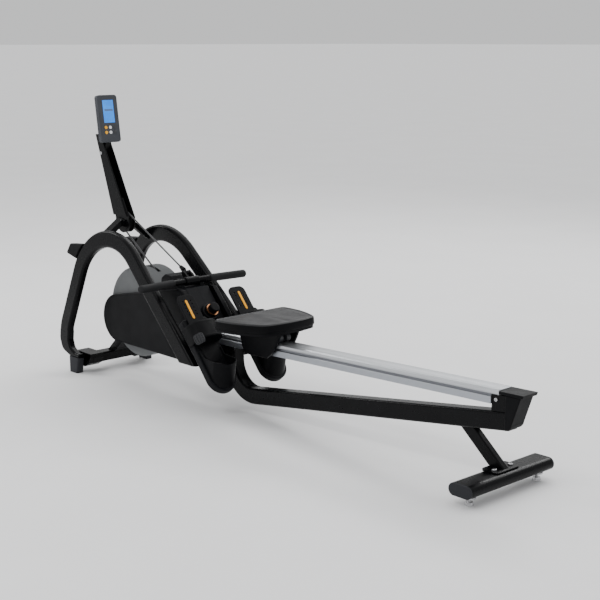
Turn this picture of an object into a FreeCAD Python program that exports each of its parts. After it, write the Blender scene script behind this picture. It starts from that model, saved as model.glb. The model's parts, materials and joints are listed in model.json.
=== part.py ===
import FreeCAD
import Part
import math
import os
from FreeCAD import Placement, Rotation, Vector

# Rowing machine. Millimetres, +Z up, +X from the flywheel end towards the rear stabiliser.
# Everything is drawn on stations counted from the front feet, and moved by STATION_CENTRE on
# export, so that the finished part stands with its origin at the middle of its footprint.
# Left is the side at -Y.

# ---------------------------------------------------------------- driving dimensions
FRONT_END = -117.9
REAR_END = 2072.0
STATION_CENTRE = (FRONT_END + REAR_END) / 2

# side arches
ARCH_DEPTH = 64.0
ARCH_THICK = 30.0
ARCH_CORNER = 10.0
ARCH_WALL = 2.5
ARCH_HALF_TRACK = 167.0
ARCH_LEAN_DEG = 4.59
CROWN_X = 198.5
CROWN_Z = 335.0
CROWN_R = 215.0
FRONT_LEG_DEG = 19.5
REAR_LEG_DEG = 42.5
REAR_LEG_LENGTH = 560.0
REAR_LEG_CUT = 165.0
KNEE_R = 110.0
KNEE_Z = 157.0
FOOT_HEIGHT = 60.0
LUG_HEEL_X = 22.0

# lower frame
BEAM_WIDTH = 50.0
BEAM_DEPTH = 57.0
BEAM_SLOPE_DEG = 8.2
BEAM_MID_X = 1424.0
BEAM_MID_Z = 137.0
BEAM_END_X = 2008.0
BEAM_INNER_R = 85.0
UPRIGHT_X = 769.5
UPRIGHT_TOP = 212.0
TUBE_WALL = 2.5
CROSSBAR = (692.0, 741.0, 165.0, 191.0)
UPPER_BAR = (706.0, 741.0, 191.0, 225.0)
SPINE = (440.0, 741.0, 150.0, 191.0)
SPINE_WIDTH = 40.0

# flywheel and drive
WHEEL_X = 265.0
WHEEL_Z = 270.0
WHEEL_R = 140.0
WHEEL_THICK = 28.0
DRUM_R = 172.0
DRUM_HALF = 62.0
SHELL = 3.0
PLATE_IN = 25.0
PLATE_THICK = 6.0
SPOOL_X = 475.0
SPOOL_Z = 268.0
SPOOL_CORE_R = 32.5
SPOOL_CORD_R = 36.0
SPOOL_FLANGE_R = 46.0
DRIVE_PULLEY_R = 57.0
FLY_PULLEY_R = 19.0
BELT_Y = 42.0
BELT_WIDTH = 12.0
BELT_THICK = 3.0
SHAFT_R = 8.5
RUN_GAP = 0.06
CALIPER_X = 238.0
CALIPER_Z = 118.0

# covers
COVER_IN = 62.0
COVER_OUT = 84.0
HOUSING_HALF = 55.0

# pull cord
CORD_R = 3.2
PULLEY_X = 120.0
PULLEY_Z = 601.0
PULLEY_CORD_R = 35.0
PULLEY_FLANGE_R = 39.0
PULLEY_HALF = 7.0
CORD_DROP_DEG = 27.23
CORD_PIN_X = 497.0

# handle
HANDLE_X = 525.0
HANDLE_Z = 420.0
HANDLE_TIP_X = 542.0
HANDLE_HALF = 245.0
HANDLE_MIDDLE = 58.0
GRIP_R = 14.5
BAR_R = 11.5

# mast and console
MAST_HALF = 19.0
MAST_SIDE = 4.0
CHEEK_HALF = 15.0
NECK_PIVOT_X = -6.0
NECK_PIVOT_Z = 855.0
CONSOLE_BASE_X = 40.0
CONSOLE_BASE_Z = 899.0
CONSOLE_TILT_DEG = 8.2
CONSOLE_WIDTH = 90.0
CONSOLE_HEIGHT = 182.0
CONSOLE_DEPTH = 23.0
BUTTON_R = 6.2

# rail, seat
RAIL_SLOPE_DEG = 2.1
RAIL_REF_X = 1082.0
RAIL_REF_Z = 278.7
RAIL_FRONT_X = 704.0
RAIL_REAR_X = 1983.0
RAIL_NOTCH_X = 1951.0
RAIL_HALF = 32.0
RAIL_HEIGHT = 46.0
SEAT_X = 967.0
SEAT_HALF_LENGTH = 118.0
SEAT_HALF_WIDTH = 165.0
SEAT_FRONT_R = 24.0
SEAT_SIDE_R = 420.0
SEAT_REAR_R = 45.0
SEAT_TAPER = math.radians(25.2)
SEAT_BACK_DEG = 12.0
SEAT_LOW = 40.0
SEAT_PAD_LOW = 49.0
SEAT_TOP = 81.0
ROLLER_R = 17.0
ROLLER_WIDTH = 18.0
ROLLER_Y = 17.0
ROLLER_SPAN = 58.0
AXLE_R = 4.0
CARRIAGE_FRONT = -114.0
CARRIAGE_REAR = 98.0
SKIRT_IN = 37.0
SKIRT_OUT = 48.0

# rear stand
STAB_X = 1982.0
STAB_Z = 48.0
STAB_WIDTH = 84.0
STAB_HEIGHT = 38.0
STAB_HALF = 186.0
LEVELLER_X = 1988.0
LEVELLER_Y = 156.0
REAR_LEG_TOP = (1859.0, 165.0)
REAR_LEG_SLOPE_DEG = 41.0

# foot rests, drawn on the board: u down the board, v across, w off its face
BOARD_X = 639.0
BOARD_Z = 383.0
BOARD_DEG = 49.46
FOOT_Y = 118.0
BOARD_HALF = 57.0
BOARD_START = 78.0
BOARD_END = 374.0
BOARD_THICK = 30.0
TONGUE_START = -15.0
TONGUE_HALF = 37.0
SLIDER_THICK = 6.0
STRAP_START = 112.0
STRAP_END = 180.0
DIAL_U = 45.0
DIAL_W = -50.0

SIDES = (("left", -1), ("right", 1))


# ---------------------------------------------------------------- helpers
def save(name, shapes):
    """Write one node: one solid, or a group of separate solids."""
    solids = []
    for shape in shapes:
        solids.extend(shape.Solids)
    if len(solids) == 1:
        out = solids[0]
    else:
        out = Part.makeCompound(solids)
    out = out.copy()
    out.translate(Vector(-STATION_CENTRE, 0, 0))
    out.exportStep("parts/" + name + ".step")


def box(x0, x1, y0, y1, z0, z1):
    return Part.makeBox(x1 - x0, y1 - y0, z1 - z0, Vector(x0, y0, z0))


def rod(centre, axis, length, radius):
    """A cylinder centred on a point."""
    direction = Vector(*axis).normalize()
    start = Vector(*centre) - direction * (length / 2)
    return Part.makeCylinder(radius, length, start, direction)


def ring(centre, axis, length, outer, inner):
    return rod(centre, axis, length, outer).cut(rod(centre, axis, length + 2, inner))


def outline(points):
    """A face in the XZ plane. A point is (x, z); an arc's middle point is (x, z, "arc")."""
    edges = []
    count = len(points)
    i = 0
    while i < count:
        here = points[i]
        following = points[(i + 1) % count]
        start = Vector(here[0], 0, here[1])
        middle_or_end = Vector(following[0], 0, following[1])
        if len(following) == 3:
            last = points[(i + 2) % count]
            end = Vector(last[0], 0, last[1])
            edges.append(Part.Arc(start, middle_or_end, end).toShape())
            i += 2
        else:
            edges.append(Part.LineSegment(start, middle_or_end).toShape())
            i += 1
    return Part.Face(Part.Wire(edges))


def prism(points, y0, y1):
    """An XZ outline extruded from y0 to y1."""
    face = outline(points)
    face.translate(Vector(0, y0, 0))
    return face.extrude(Vector(0, y1 - y0, 0))


def rounded(shape, radius, keep):
    """Round the edges for which keep(edge) is true."""
    edges = [e for e in shape.Edges if keep(e)]
    return shape.makeFillet(radius, edges)


def at_y(values):
    """An edge test: the edge lies whole in one of these Y planes."""
    def test(edge):
        bounds = edge.BoundBox
        flat = bounds.YMax - bounds.YMin < 0.01
        return flat and any(abs(bounds.YMin - y) < 0.01 for y in values)
    return test


def along_y(edge):
    """An edge test: a straight edge that runs along Y."""
    bounds = edge.BoundBox
    return bounds.XLength < 0.01 and bounds.ZLength < 0.01


def corners_rounded(shape, radius, points):
    """Round the straight Y edges that stand at these (x, z) points."""
    def wanted(edge):
        middle = edge.CenterOfMass
        return along_y(edge) and any(math.hypot(middle.x - x, middle.z - z) < 0.1 for x, z in points)
    return rounded(shape, radius, wanted)


def rounded_rectangle(width, height, radius):
    """A closed wire in the XY plane, centred on the origin."""
    a = width / 2
    b = height / 2
    k = radius * (1 - math.sqrt(0.5))
    corners = [(1, 1), (-1, 1), (-1, -1), (1, -1)]
    edges = []
    for i, (sx, sy) in enumerate(corners):
        first = Vector(sx * a, sy * (b - radius), 0)
        last = Vector(sx * (a - radius), sy * b, 0)
        if i % 2:
            first, last = last, first
        middle = Vector(sx * (a - k), sy * (b - k), 0)
        edges.append(Part.Arc(first, middle, last).toShape())
        nx, ny = corners[(i + 1) % 4]
        after = Vector(nx * a, ny * (b - radius), 0)
        if i % 2 == 0:
            after = Vector(nx * (a - radius), ny * b, 0)
        edges.append(Part.LineSegment(last, after).toShape())
    return Part.Wire(edges)


def oval(width, height):
    """A closed wire in the XZ plane with round ends, centred on the origin."""
    a = width / 2
    r = height / 2
    flat = a - r
    edges = [
        Part.LineSegment(Vector(-flat, 0, r), Vector(flat, 0, r)).toShape(),
        Part.Arc(Vector(flat, 0, r), Vector(a, 0, 0), Vector(flat, 0, -r)).toShape(),
        Part.LineSegment(Vector(flat, 0, -r), Vector(-flat, 0, -r)).toShape(),
        Part.Arc(Vector(-flat, 0, -r), Vector(-a, 0, 0), Vector(-flat, 0, r)).toShape(),
    ]
    return Part.Wire(edges)


def sweep(path, depth, thick, corner, wall):
    """A hollow rounded-rectangle tube along a flat XZ path, depth in the plane."""
    first = path.Edges[0]
    tangent = first.tangentAt(first.FirstParameter)
    side = Vector(0, 1, 0)
    inward = side.cross(tangent)
    turn = Rotation(inward, side, tangent, "ZXY")
    start = Placement(first.valueAt(first.FirstParameter), turn)
    solids = []
    for shrink in (0.0, wall):
        wire = rounded_rectangle(depth - 2 * shrink, thick - 2 * shrink, corner - shrink)
        wire.Placement = start
        solids.append(path.makePipeShell([wire], True, False))
    outer, inner = solids
    return outer.cut(inner) if wall else outer


def on_arch(shape, sign):
    """Move a shape drawn on the XZ plane onto the leaning arch of one side."""
    turn = Rotation(Vector(1, 0, 0), sign * ARCH_LEAN_DEG)
    out = shape.copy()
    out.Placement = Placement(Vector(0, sign * ARCH_HALF_TRACK, 0), turn)
    return out


def inside_arches(shape):
    """Trim a cross piece square to the leaning inner faces of both arches."""
    half = ARCH_THICK / 2
    out = shape
    for _, sign in SIDES:
        y0, y1 = sorted((-sign * half, sign * 300.0))
        out = out.cut(on_arch(box(-300, 900, y0, y1, -100, 800), sign))
    return out


def board_point(u, w):
    """An (x, z) point from a distance down the board and a height off its face."""
    a = math.radians(BOARD_DEG)
    return (BOARD_X + u * math.cos(a) + w * math.sin(a), BOARD_Z - u * math.sin(a) + w * math.cos(a))


def on_board(shape):
    """Move a shape drawn in board coordinates (u, v, w) to its place."""
    out = shape.copy()
    turn = Rotation(Vector(0, 1, 0), BOARD_DEG)
    out.Placement = Placement(Vector(BOARD_X, 0, BOARD_Z), turn).multiply(out.Placement)
    return out


def rail_top(x):
    return RAIL_REF_Z + (x - RAIL_REF_X) * math.tan(math.radians(RAIL_SLOPE_DEG))


def on_rail(shape, x):
    """Move a shape drawn with +X along the rail and z = 0 on its top face."""
    out = shape.copy()
    turn = Rotation(Vector(0, 1, 0), -RAIL_SLOPE_DEG)
    out.Placement = Placement(Vector(x, 0, rail_top(x)), turn).multiply(out.Placement)
    return out


def on_console(shape):
    """Move a shape drawn with x = 0 on the console's face and z = 0 at its foot."""
    out = shape.copy()
    turn = Rotation(Vector(0, 1, 0), -CONSOLE_TILT_DEG)
    base = Placement(Vector(CONSOLE_BASE_X, 0, CONSOLE_BASE_Z), turn)
    out.Placement = base.multiply(out.Placement)
    return out


def arc_points(cx, cz, radius, start_deg, end_deg):
    """Start, middle and end of an arc in the XZ plane."""
    out = []
    for angle in (start_deg, (start_deg + end_deg) / 2, end_deg):
        a = math.radians(angle)
        out.append(Vector(cx + radius * math.cos(a), 0, cz + radius * math.sin(a)))
    return out


# ---------------------------------------------------------------- side arches
def arch_path():
    """Centreline from the knee, up the front leg, over the crown and down the rear leg."""
    lean = math.radians(FRONT_LEG_DEG)
    drop = math.radians(REAR_LEG_DEG)
    top_front = Vector(CROWN_X - CROWN_R * math.cos(lean), 0, CROWN_Z + CROWN_R * math.sin(lean))
    low_z = KNEE_Z + KNEE_R * math.sin(lean)
    low_x = top_front.x - (top_front.z - low_z) * math.tan(lean)
    knee_x = low_x - KNEE_R * (1 - math.cos(lean)) + KNEE_R
    knee = arc_points(knee_x, KNEE_Z, KNEE_R, 180.0, 180.0 - FRONT_LEG_DEG)
    crown = arc_points(CROWN_X, CROWN_Z, CROWN_R, 180.0 - FRONT_LEG_DEG, 90.0 - REAR_LEG_DEG)
    along = Vector(math.cos(drop), 0, -math.sin(drop))
    foot = crown[2] + along * REAR_LEG_LENGTH
    edges = [
        Part.Arc(*knee).toShape(),
        Part.LineSegment(knee[2], crown[0]).toShape(),
        Part.Arc(*crown).toShape(),
        Part.LineSegment(crown[2], foot).toShape(),
    ]
    return Part.Wire(edges), knee[0].x


def arch_tube():
    """The bent tube with the forged lug that closes its front foot."""
    path, front_x = arch_path()
    tube = sweep(path, ARCH_DEPTH, ARCH_THICK, ARCH_CORNER, ARCH_WALL)
    below = box(500, 900, -50, 50, -100, REAR_LEG_CUT)
    tube = tube.cut(below)
    solid = sweep(path, ARCH_DEPTH, ARCH_THICK, ARCH_CORNER, 0)
    plate = solid.common(box(500, 900, -50, 50, REAR_LEG_CUT, REAR_LEG_CUT + 3))
    tube = tube.fuse(plate)
    outer = front_x - ARCH_DEPTH / 2
    inner = front_x + ARCH_DEPTH / 2
    half = ARCH_THICK / 2
    ankle = [(outer, 118), (-96, 78), (-44, FOOT_HEIGHT)]
    instep = [(-4, FOOT_HEIGHT + 17), (-40, 94), (inner, 122)]
    heel = [(LUG_HEEL_X, FOOT_HEIGHT), (LUG_HEEL_X, FOOT_HEIGHT + 17)]
    lug = prism([(outer, KNEE_Z)] + ankle + heel + instep + [(inner, KNEE_Z)], -half, half)
    lug = corners_rounded(lug, 40.0, ankle)
    lug = corners_rounded(lug, 20.0, instep)

    def side_edge(edge):
        bounds = edge.BoundBox
        return at_y([-half, half])(edge) and bounds.ZMin < 150 and bounds.XMin < LUG_HEEL_X - 1
    return tube.fuse(rounded(lug, 8.0, side_edge))


def front_foot():
    """Rubber block under the arch lug, flared towards its top."""
    half = ARCH_THICK / 2
    block = prism([(-44, FOOT_HEIGHT), (-34, -10), (17, -10), (LUG_HEEL_X, FOOT_HEIGHT)], -half, half)
    return rounded(block, 6.0, lambda e: e.BoundBox.ZLength > 50)


def storage_bumper():
    """Rubber block on the front shoulder of the arch; the machine leans on it when stood up."""
    half = ARCH_THICK / 2 + 3
    block = prism([(-85, 466), (-61, 506), (45, 515), (15, 444)], -half, half)
    block = rounded(block, 6.0, lambda e: e.CenterOfMass.x < 0)
    return block.cut(rod((CROWN_X, 0, CROWN_Z), (0, 1, 0), 80, CROWN_R + ARCH_DEPTH / 2))


def make_arches():
    tube = arch_tube()
    foot = front_foot()
    bumper = storage_bumper()
    ground = box(-200, 200, -400, 400, -100, 0)
    feet = []
    bumpers = []
    for name, sign in SIDES:
        save("arch_tube_" + name, [on_arch(tube, sign)])
        feet.append(on_arch(foot, sign).cut(ground))
        bumpers.append(on_arch(bumper, sign))
    save("front_feet", feet)
    save("storage_bumpers", bumpers)


# ---------------------------------------------------------------- lower frame
def hollow_box(x0, x1, y0, y1, z0, z1, corner):
    """A rectangular tube along Y."""
    outer = rounded(box(x0, x1, y0, y1, z0, z1), corner, along_y)
    w = TUBE_WALL
    return outer.cut(box(x0 + w, x1 - w, y0 - 1, y1 + 1, z0 + w, z1 - w))


def foot_bracket(sign):
    """Pressed block beside each front foot, with a flat top and a rounded belly."""
    y0, y1 = sorted((sign * 88.0, sign * 160.0))
    belly = [(-38, 44), (-20, 27), (26, 25), (58, 42)]
    body = prism([(-38, 80)] + belly + [(66, 62), (66, 80)], y0, y1)
    body = corners_rounded(body, 10.0, belly)
    hollow = prism([(-34, 76), (-34, 46), (-18, 32), (26, 30), (62, 66), (62, 76)], y0 + 4, y1 - 4)
    return body.cut(hollow)


def make_front_crossmember():
    """Tube between the foot brackets and the strut that rises from it to the flywheel."""
    tube = hollow_box(-16, 40, -89, 89, 34, 72, 8.0)
    strut = prism([(6, 71), (52, 71), (160, 166), (132, 190)], -PLATE_IN, PLATE_IN)
    strut = strut.cut(prism([(16, 74), (49, 74), (163, 172), (138, 194)], -PLATE_IN + 3, PLATE_IN - 3))
    brackets = foot_bracket(-1).fuse(foot_bracket(1))
    save("front_crossmember", [inside_arches(tube.fuse(strut).fuse(brackets))])


def make_footrest_frame():
    """Crossbars behind the arches, one under the foot boards, and the spine to the flywheel."""
    lower = inside_arches(hollow_box(*CROSSBAR[:2], -160, 160, *CROSSBAR[2:], 6.0))
    upper = inside_arches(hollow_box(*UPPER_BAR[:2], -160, 160, *UPPER_BAR[2:], 3.0))
    above_board = Part.makeBox(800, 400, 200, Vector(-400, -200, -BOARD_THICK))
    upper = upper.cut(on_board(above_board))
    rail_room = Part.makeBox(400, 68, 200, Vector(-200, -34, -RAIL_HEIGHT - 0.5))
    upper = upper.cut(on_rail(rail_room, UPRIGHT_X))
    x0, x1, z0, z1 = SPINE
    half = SPINE_WIDTH / 2
    w = TUBE_WALL
    spine = box(x0, x1, -half, half, z0, z1)
    spine = spine.cut(box(x0 - 1, x1 - w, -half + w, half - w, z0 + w, z1 - w))
    save("footrest_frame", [lower.fuse(spine).fuse(upper)])


def beam_path():
    """Centreline from the rear end, down the slope and up the bend to the rail's front."""
    slope = math.radians(BEAM_SLOPE_DEG)
    radius = BEAM_INNER_R + BEAM_DEPTH / 2
    cx = UPRIGHT_X + radius
    line_z = BEAM_MID_Z + (cx - BEAM_MID_X) * math.tan(slope)
    cz = line_z + radius / math.cos(slope)
    bend = arc_points(cx, cz, radius, 180.0, 270.0 + BEAM_SLOPE_DEG)
    rear_z = BEAM_MID_Z + (BEAM_END_X - BEAM_MID_X) * math.tan(slope)
    edges = [
        Part.LineSegment(Vector(UPRIGHT_X, 0, UPRIGHT_TOP), bend[0]).toShape(),
        Part.Arc(*bend).toShape(),
        Part.LineSegment(bend[2], Vector(BEAM_END_X, 0, rear_z)).toShape(),
    ]
    return Part.Wire(edges)


def make_main_beam():
    beam = sweep(beam_path(), BEAM_DEPTH, BEAM_WIDTH, 8.0, TUBE_WALL)
    pad = box(UPRIGHT_X - 28, UPRIGHT_X + 30, -28, 28, UPRIGHT_TOP - 1, UPRIGHT_TOP + 30)
    under_rail = Part.makeBox(400, 200, 200, Vector(-200, -100, -RAIL_HEIGHT))
    save("main_beam", [beam.fuse(pad.cut(on_rail(under_rail, UPRIGHT_X)))])


# ---------------------------------------------------------------- flywheel and drive
def make_flywheel_plates():
    """Two plates that hold the flywheel and the spool on the spine."""
    points = [
        (232, 262), (WHEEL_X, 308, "arc"), (298, 262),
        (455, 305), (SPOOL_X, 312, "arc"), (505, 300),
        (520, 192), (470, 152), (441, 152), (330, 205),
    ]
    plates = []
    for _, sign in SIDES:
        y0, y1 = sorted((sign * PLATE_IN, sign * (PLATE_IN + PLATE_THICK)))
        plate = prism(points, y0, y1)
        tail = prism([(150, 170), (236, 270), (290, 230), (252, 108), (228, 110), (200, 150)], y0, y1)
        plate = plate.fuse(tail).removeSplitter()
        for x, z in ((WHEEL_X, WHEEL_Z), (SPOOL_X, SPOOL_Z)):
            plate = plate.cut(rod((x, 0, z), (0, 1, 0), 200, 15.0))
        plate = plate.cut(rod((CALIPER_X, 0, CALIPER_Z), (0, 1, 0), 200, 4.0))
        plates.append(plate)
    spacer = box(450, 515, -PLATE_IN, PLATE_IN, SPINE[3], SPINE[3] + 5)
    save("flywheel_plates", [spacer.fuse(plates[0]).fuse(plates[1])])


def make_flywheel():
    """Steel disc with a heavy rim, its hub and the small belt pulley on the same sleeve."""
    half = WHEEL_THICK / 2
    disc = rod((WHEEL_X, 0, WHEEL_Z), (0, 1, 0), WHEEL_THICK, WHEEL_R)
    for sign in (-1, 1):
        pocket = ring((WHEEL_X, sign * (half - 3), WHEEL_Z), (0, 1, 0), 6.2, 100, 32)
        disc = disc.cut(pocket)
    disc = rounded(disc, 1.5, lambda e: abs(e.BoundBox.XLength - 2 * WHEEL_R) < 0.1 and at_y([-half, half])(e))
    neck = rod((WHEEL_X, 24, WHEEL_Z), (0, 1, 0), 48, 12.0)
    pulley = rod((WHEEL_X, BELT_Y, WHEEL_Z), (0, 1, 0), BELT_WIDTH, FLY_PULLEY_R - 0.3)
    wheel = disc.fuse(neck).fuse(pulley)
    save("flywheel", [wheel.cut(rod((WHEEL_X, 0, WHEEL_Z), (0, 1, 0), 200, SHAFT_R + RUN_GAP))])


def make_drive_shafts():
    """Flywheel axle and spool shaft, fixed in the plates' bearings."""
    axle = rod((WHEEL_X, 6, WHEEL_Z), (0, 1, 0), 88, SHAFT_R)
    shaft = rod((SPOOL_X, 6, SPOOL_Z), (0, 1, 0), 88, SHAFT_R)
    save("drive_shafts", [axle, shaft])


def make_bearings():
    """Flanged bearings pressed in the plates."""
    solids = []
    for x, z in ((WHEEL_X, WHEEL_Z), (SPOOL_X, SPOOL_Z)):
        for sign in (-1, 1):
            y = sign * (PLATE_IN + PLATE_THICK / 2)
            bore = SHAFT_R
            if sign > 0 and x == WHEEL_X:
                bore = 12.0 + RUN_GAP
            solids.append(ring((x, y, z), (0, 1, 0), PLATE_THICK, 15.0, bore))
    save("bearings", solids)


def belt_tangents():
    """Angle of the belt's upper run and the points where it leaves each pulley."""
    dx = SPOOL_X - WHEEL_X
    dz = SPOOL_Z - WHEEL_Z
    span = math.hypot(dx, dz)
    lift = math.asin((DRIVE_PULLEY_R - FLY_PULLEY_R) / span)
    base = math.atan2(dz, dx)
    return base, lift


def make_drive_belt():
    """Open flat belt round both pulleys."""
    base, lift = belt_tangents()

    def loop(small, large):
        def on(cx, cz, r, angle):
            return (cx + r * math.cos(angle), cz + r * math.sin(angle))
        up = base + math.pi / 2 + lift
        down = base - math.pi / 2 - lift
        a = on(WHEEL_X, WHEEL_Z, small, up)
        b = on(SPOOL_X, SPOOL_Z, large, up)
        c = on(SPOOL_X, SPOOL_Z, large, down)
        d = on(WHEEL_X, WHEEL_Z, small, down)
        far = on(SPOOL_X, SPOOL_Z, large, base) + ("arc",)
        near = on(WHEEL_X, WHEEL_Z, small, base + math.pi) + ("arc",)
        return [a, b, far, c, d, near]
    y0 = BELT_Y - BELT_WIDTH / 2 + 0.5
    y1 = BELT_Y + BELT_WIDTH / 2 - 0.5
    outer = prism(loop(FLY_PULLEY_R + BELT_THICK, DRIVE_PULLEY_R + BELT_THICK), y0, y1)
    inner = prism(loop(FLY_PULLEY_R, DRIVE_PULLEY_R), y0 - 1, y1 + 1)
    save("drive_belt", [outer.cut(inner)])


def make_drive_pulley():
    wheel = rod((SPOOL_X, BELT_Y, SPOOL_Z), (0, 1, 0), BELT_WIDTH, DRIVE_PULLEY_R - 0.3)
    wheel = wheel.cut(ring((SPOOL_X, BELT_Y + 6, SPOOL_Z), (0, 1, 0), 12, 47, 20))
    save("drive_pulley", [wheel.cut(rod((SPOOL_X, 0, SPOOL_Z), (0, 1, 0), 200, SHAFT_R + RUN_GAP))])


def make_cord_spool():
    """Spool with two flanges; the wound cord fills its core."""
    body = rod((SPOOL_X, 0, SPOOL_Z), (0, 1, 0), 40, SPOOL_CORE_R)
    for sign in (-1, 1):
        body = body.fuse(rod((SPOOL_X, sign * 17, SPOOL_Z), (0, 1, 0), 6, SPOOL_FLANGE_R))
    save("cord_spool", [body.cut(rod((SPOOL_X, 0, SPOOL_Z), (0, 1, 0), 200, SHAFT_R + RUN_GAP))])


def make_magnet_caliper():
    """Swinging arms with magnets each side of the flywheel's rim."""
    solids = []
    pin = rod((CALIPER_X, 0, CALIPER_Z), (0, 1, 0), 2 * (PLATE_IN + PLATE_THICK), 4.0 - RUN_GAP)
    body = pin
    for _, sign in SIDES:
        y0, y1 = sorted((sign * 19.5, sign * 22.5))
        arm = prism([(228, 112), (249, 111), (212, 196), (176, 206), (162, 184)], y0, y1)
        magnet = rod((190, sign * 17.5, 184), (0, 1, 0), 4.2, 11.0)
        body = body.fuse(arm).fuse(magnet)
    solids.append(body)
    save("magnet_caliper", solids)


# ---------------------------------------------------------------- covers
def drum_half(sign):
    """Half of the flywheel's drum, open behind the black covers."""
    mid = sign * (DRUM_HALF + 0.2) / 2
    length = DRUM_HALF - 0.2
    outer = rod((WHEEL_X, mid, WHEEL_Z), (0, 1, 0), length, DRUM_R)
    outer = rounded(outer, 9.0, at_y([sign * DRUM_HALF]))
    inner = rod((WHEEL_X, mid - sign * SHELL, WHEEL_Z), (0, 1, 0), length, DRUM_R - SHELL)
    half = outer.cut(inner)
    half = half.cut(box(372, 460, -100, 100, 130, 345))
    half = half.cut(box(262, 332, -8, 8, 400, 460))
    half = half.cut(box(380, 440, -8, 8, 340, 390))
    half = half.cut(box(100, 160, -28, 28, 143, 187))
    for x, z in ((190, 175), (240, 160)):
        y0, y1 = sorted((sign * (PLATE_IN + PLATE_THICK), sign * (DRUM_HALF - 1)))
        half = half.fuse(rod((x, (y0 + y1) / 2, z), (0, 1, 0), y1 - y0, 6.0))
    return half.Solids


def biggest(solids):
    return max(solids, key=lambda s: s.Volume)


def make_drum_shell():
    halves = [biggest(drum_half(sign)) for _, sign in SIDES]
    save("drum_shell", halves)


def cover_points(shrink):
    """Outline of the side cover, pulled in by shrink."""
    s = shrink
    return [
        (126 + s * 0.4, 319 - s), (66 + s, 226, "arc"), (141 + s * 0.2, 139 + s),
        (676 - s, 137 + s), (688 - s, 150 + s), (700 - s, 262 - s * 0.4), (574 - s, 399 - s * 1.1),
        (545 - s, 402 - s),
    ]


def make_side_covers():
    """Black side covers: trays with their open side towards the drum."""
    for name, sign in SIDES:
        y0, y1 = sorted((sign * COVER_IN, sign * COVER_OUT))
        tray = prism(cover_points(0), y0, y1)
        tray = rounded(tray, 7.0, at_y([sign * COVER_OUT]))
        h0, h1 = sorted((sign * (COVER_IN - 1), sign * (COVER_OUT - SHELL)))
        save("side_cover_" + name, [tray.cut(prism(cover_points(SHELL), h0, h1))])


def housing_block(shrink, y0, y1):
    """Outer form of the housing pulled in by shrink, with the notch for the handle's cord stop."""
    s = shrink
    dome = [(470, 437 - s), (436, 439 - s), (414 + s, 424 - s)]
    notch = [(506 - s * 0.3, 399 - s), (489 - s * 0.3, 416 - s)]
    floor = SPINE[3] + s
    front = [(408 + s, 370), (430 + s, 325), (440 + s, WHEEL_Z), (437 + s, 230), (424 + s, floor)]
    rear = [(701 - s, floor), board_point(156 - s * 0.6, DIAL_W - s), board_point(-66, DIAL_W - s)]
    block = prism(rear + notch + dome + front, y0, y1)
    block = corners_rounded(block, 12.0 - s, dome)
    return corners_rounded(block, 8.0, notch)


def cradle(y0, y1):
    """Hook that holds the handle's bar from below and in front, open to the rear."""
    block = prism([(497, 394), (534, 394), (530, 412), (520, 430), (500, 430)], y0, y1)
    room = BAR_R + 0.4
    block = block.cut(rod((HANDLE_X, 0, HANDLE_Z), (0, 1, 0), 200, room))
    way_out = Part.makeBox(100, 200, 2 * room, Vector(0, -100, -room))
    way_out.Placement = Placement(Vector(HANDLE_X, 0, HANDLE_Z), Rotation(Vector(0, 1, 0), -13.0))
    return block.cut(way_out)


def make_centre_housing():
    """Two moulded halves; the cord and the belt enter through the open front."""
    halves = []
    for _, sign in SIDES:
        y0, y1 = sorted((sign * 0.2, sign * HOUSING_HALF))
        half = housing_block(0, y0, y1)
        half = rounded(half, 6.0, at_y([sign * HOUSING_HALF]))
        h0, h1 = sorted((-sign, sign * (HOUSING_HALF - SHELL)))
        half = half.cut(housing_block(SHELL, h0, h1))
        half = half.cut(box(400, 460, -50, 52, 197, 380))
        half = half.cut(box(420, 524, -33, 33, 185, 200))
        y2, y3 = sorted((sign * 36.0, sign * 50.0))
        halves.append(biggest(half.fuse(cradle(y2, y3)).Solids))
    save("centre_housing", halves)


# ---------------------------------------------------------------- resistance dial
def make_dial():
    """Fixed bezel, turning knob and its copper ring, square to the foot boards."""
    centre = (DIAL_U, 0, 0)
    base = DIAL_W
    up = Vector(0, 0, 1)
    bezel = Part.makeCone(36, 32, 12, Vector(DIAL_U, 0, base), up)
    bezel = rounded(bezel, 3.0, lambda e: e.BoundBox.ZMin > base + 11 and e.BoundBox.XLength > 50)
    bezel = bezel.cut(Part.makeCylinder(26, 9, Vector(DIAL_U, 0, base + 4), up))
    bezel = bezel.cut(Part.makeCylinder(6 + RUN_GAP, 5, Vector(DIAL_U, 0, base - 0.5), up))
    skirt = Part.makeCone(25, 23.5, 15, Vector(DIAL_U, 0, base + 4.6), up)
    grip = Part.makeCylinder(19, 40, Vector(DIAL_U, 0, base + 4.6), up)
    grip = rounded(grip, 4.0, lambda e: e.BoundBox.ZMin > base + 44)
    spindle = Part.makeCylinder(6, 6, Vector(DIAL_U, 0, base + 0.3), up)
    knob = skirt.fuse(grip).fuse(spindle)
    for i in range(16):
        angle = math.radians(i * 22.5)
        x = centre[0] + 20.0 * math.cos(angle)
        y = 20.0 * math.sin(angle)
        groove = Part.makeCylinder(2.0, 30, Vector(x, y, base + 25), up)
        knob = knob.cut(groove)
    copper = Part.makeCylinder(23.2, 3.6, Vector(DIAL_U, 0, base + 19.6), up)
    copper = copper.cut(Part.makeCylinder(19.02, 3.6, Vector(DIAL_U, 0, base + 19.6), up))
    save("dial_bezel", [on_board(bezel)])
    save("dial_knob", [on_board(knob)])
    save("dial_ring", [on_board(copper)])


# ---------------------------------------------------------------- pull cord
def cord_line():
    """Direction of the taut cord and its tangent point on the mast pulley."""
    drop = math.radians(CORD_DROP_DEG)
    along = Vector(math.cos(drop), 0, -math.sin(drop))
    normal = Vector(math.sin(drop), 0, math.cos(drop))
    start = Vector(PULLEY_X, 0, PULLEY_Z) + normal * PULLEY_CORD_R
    return along, start


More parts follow.
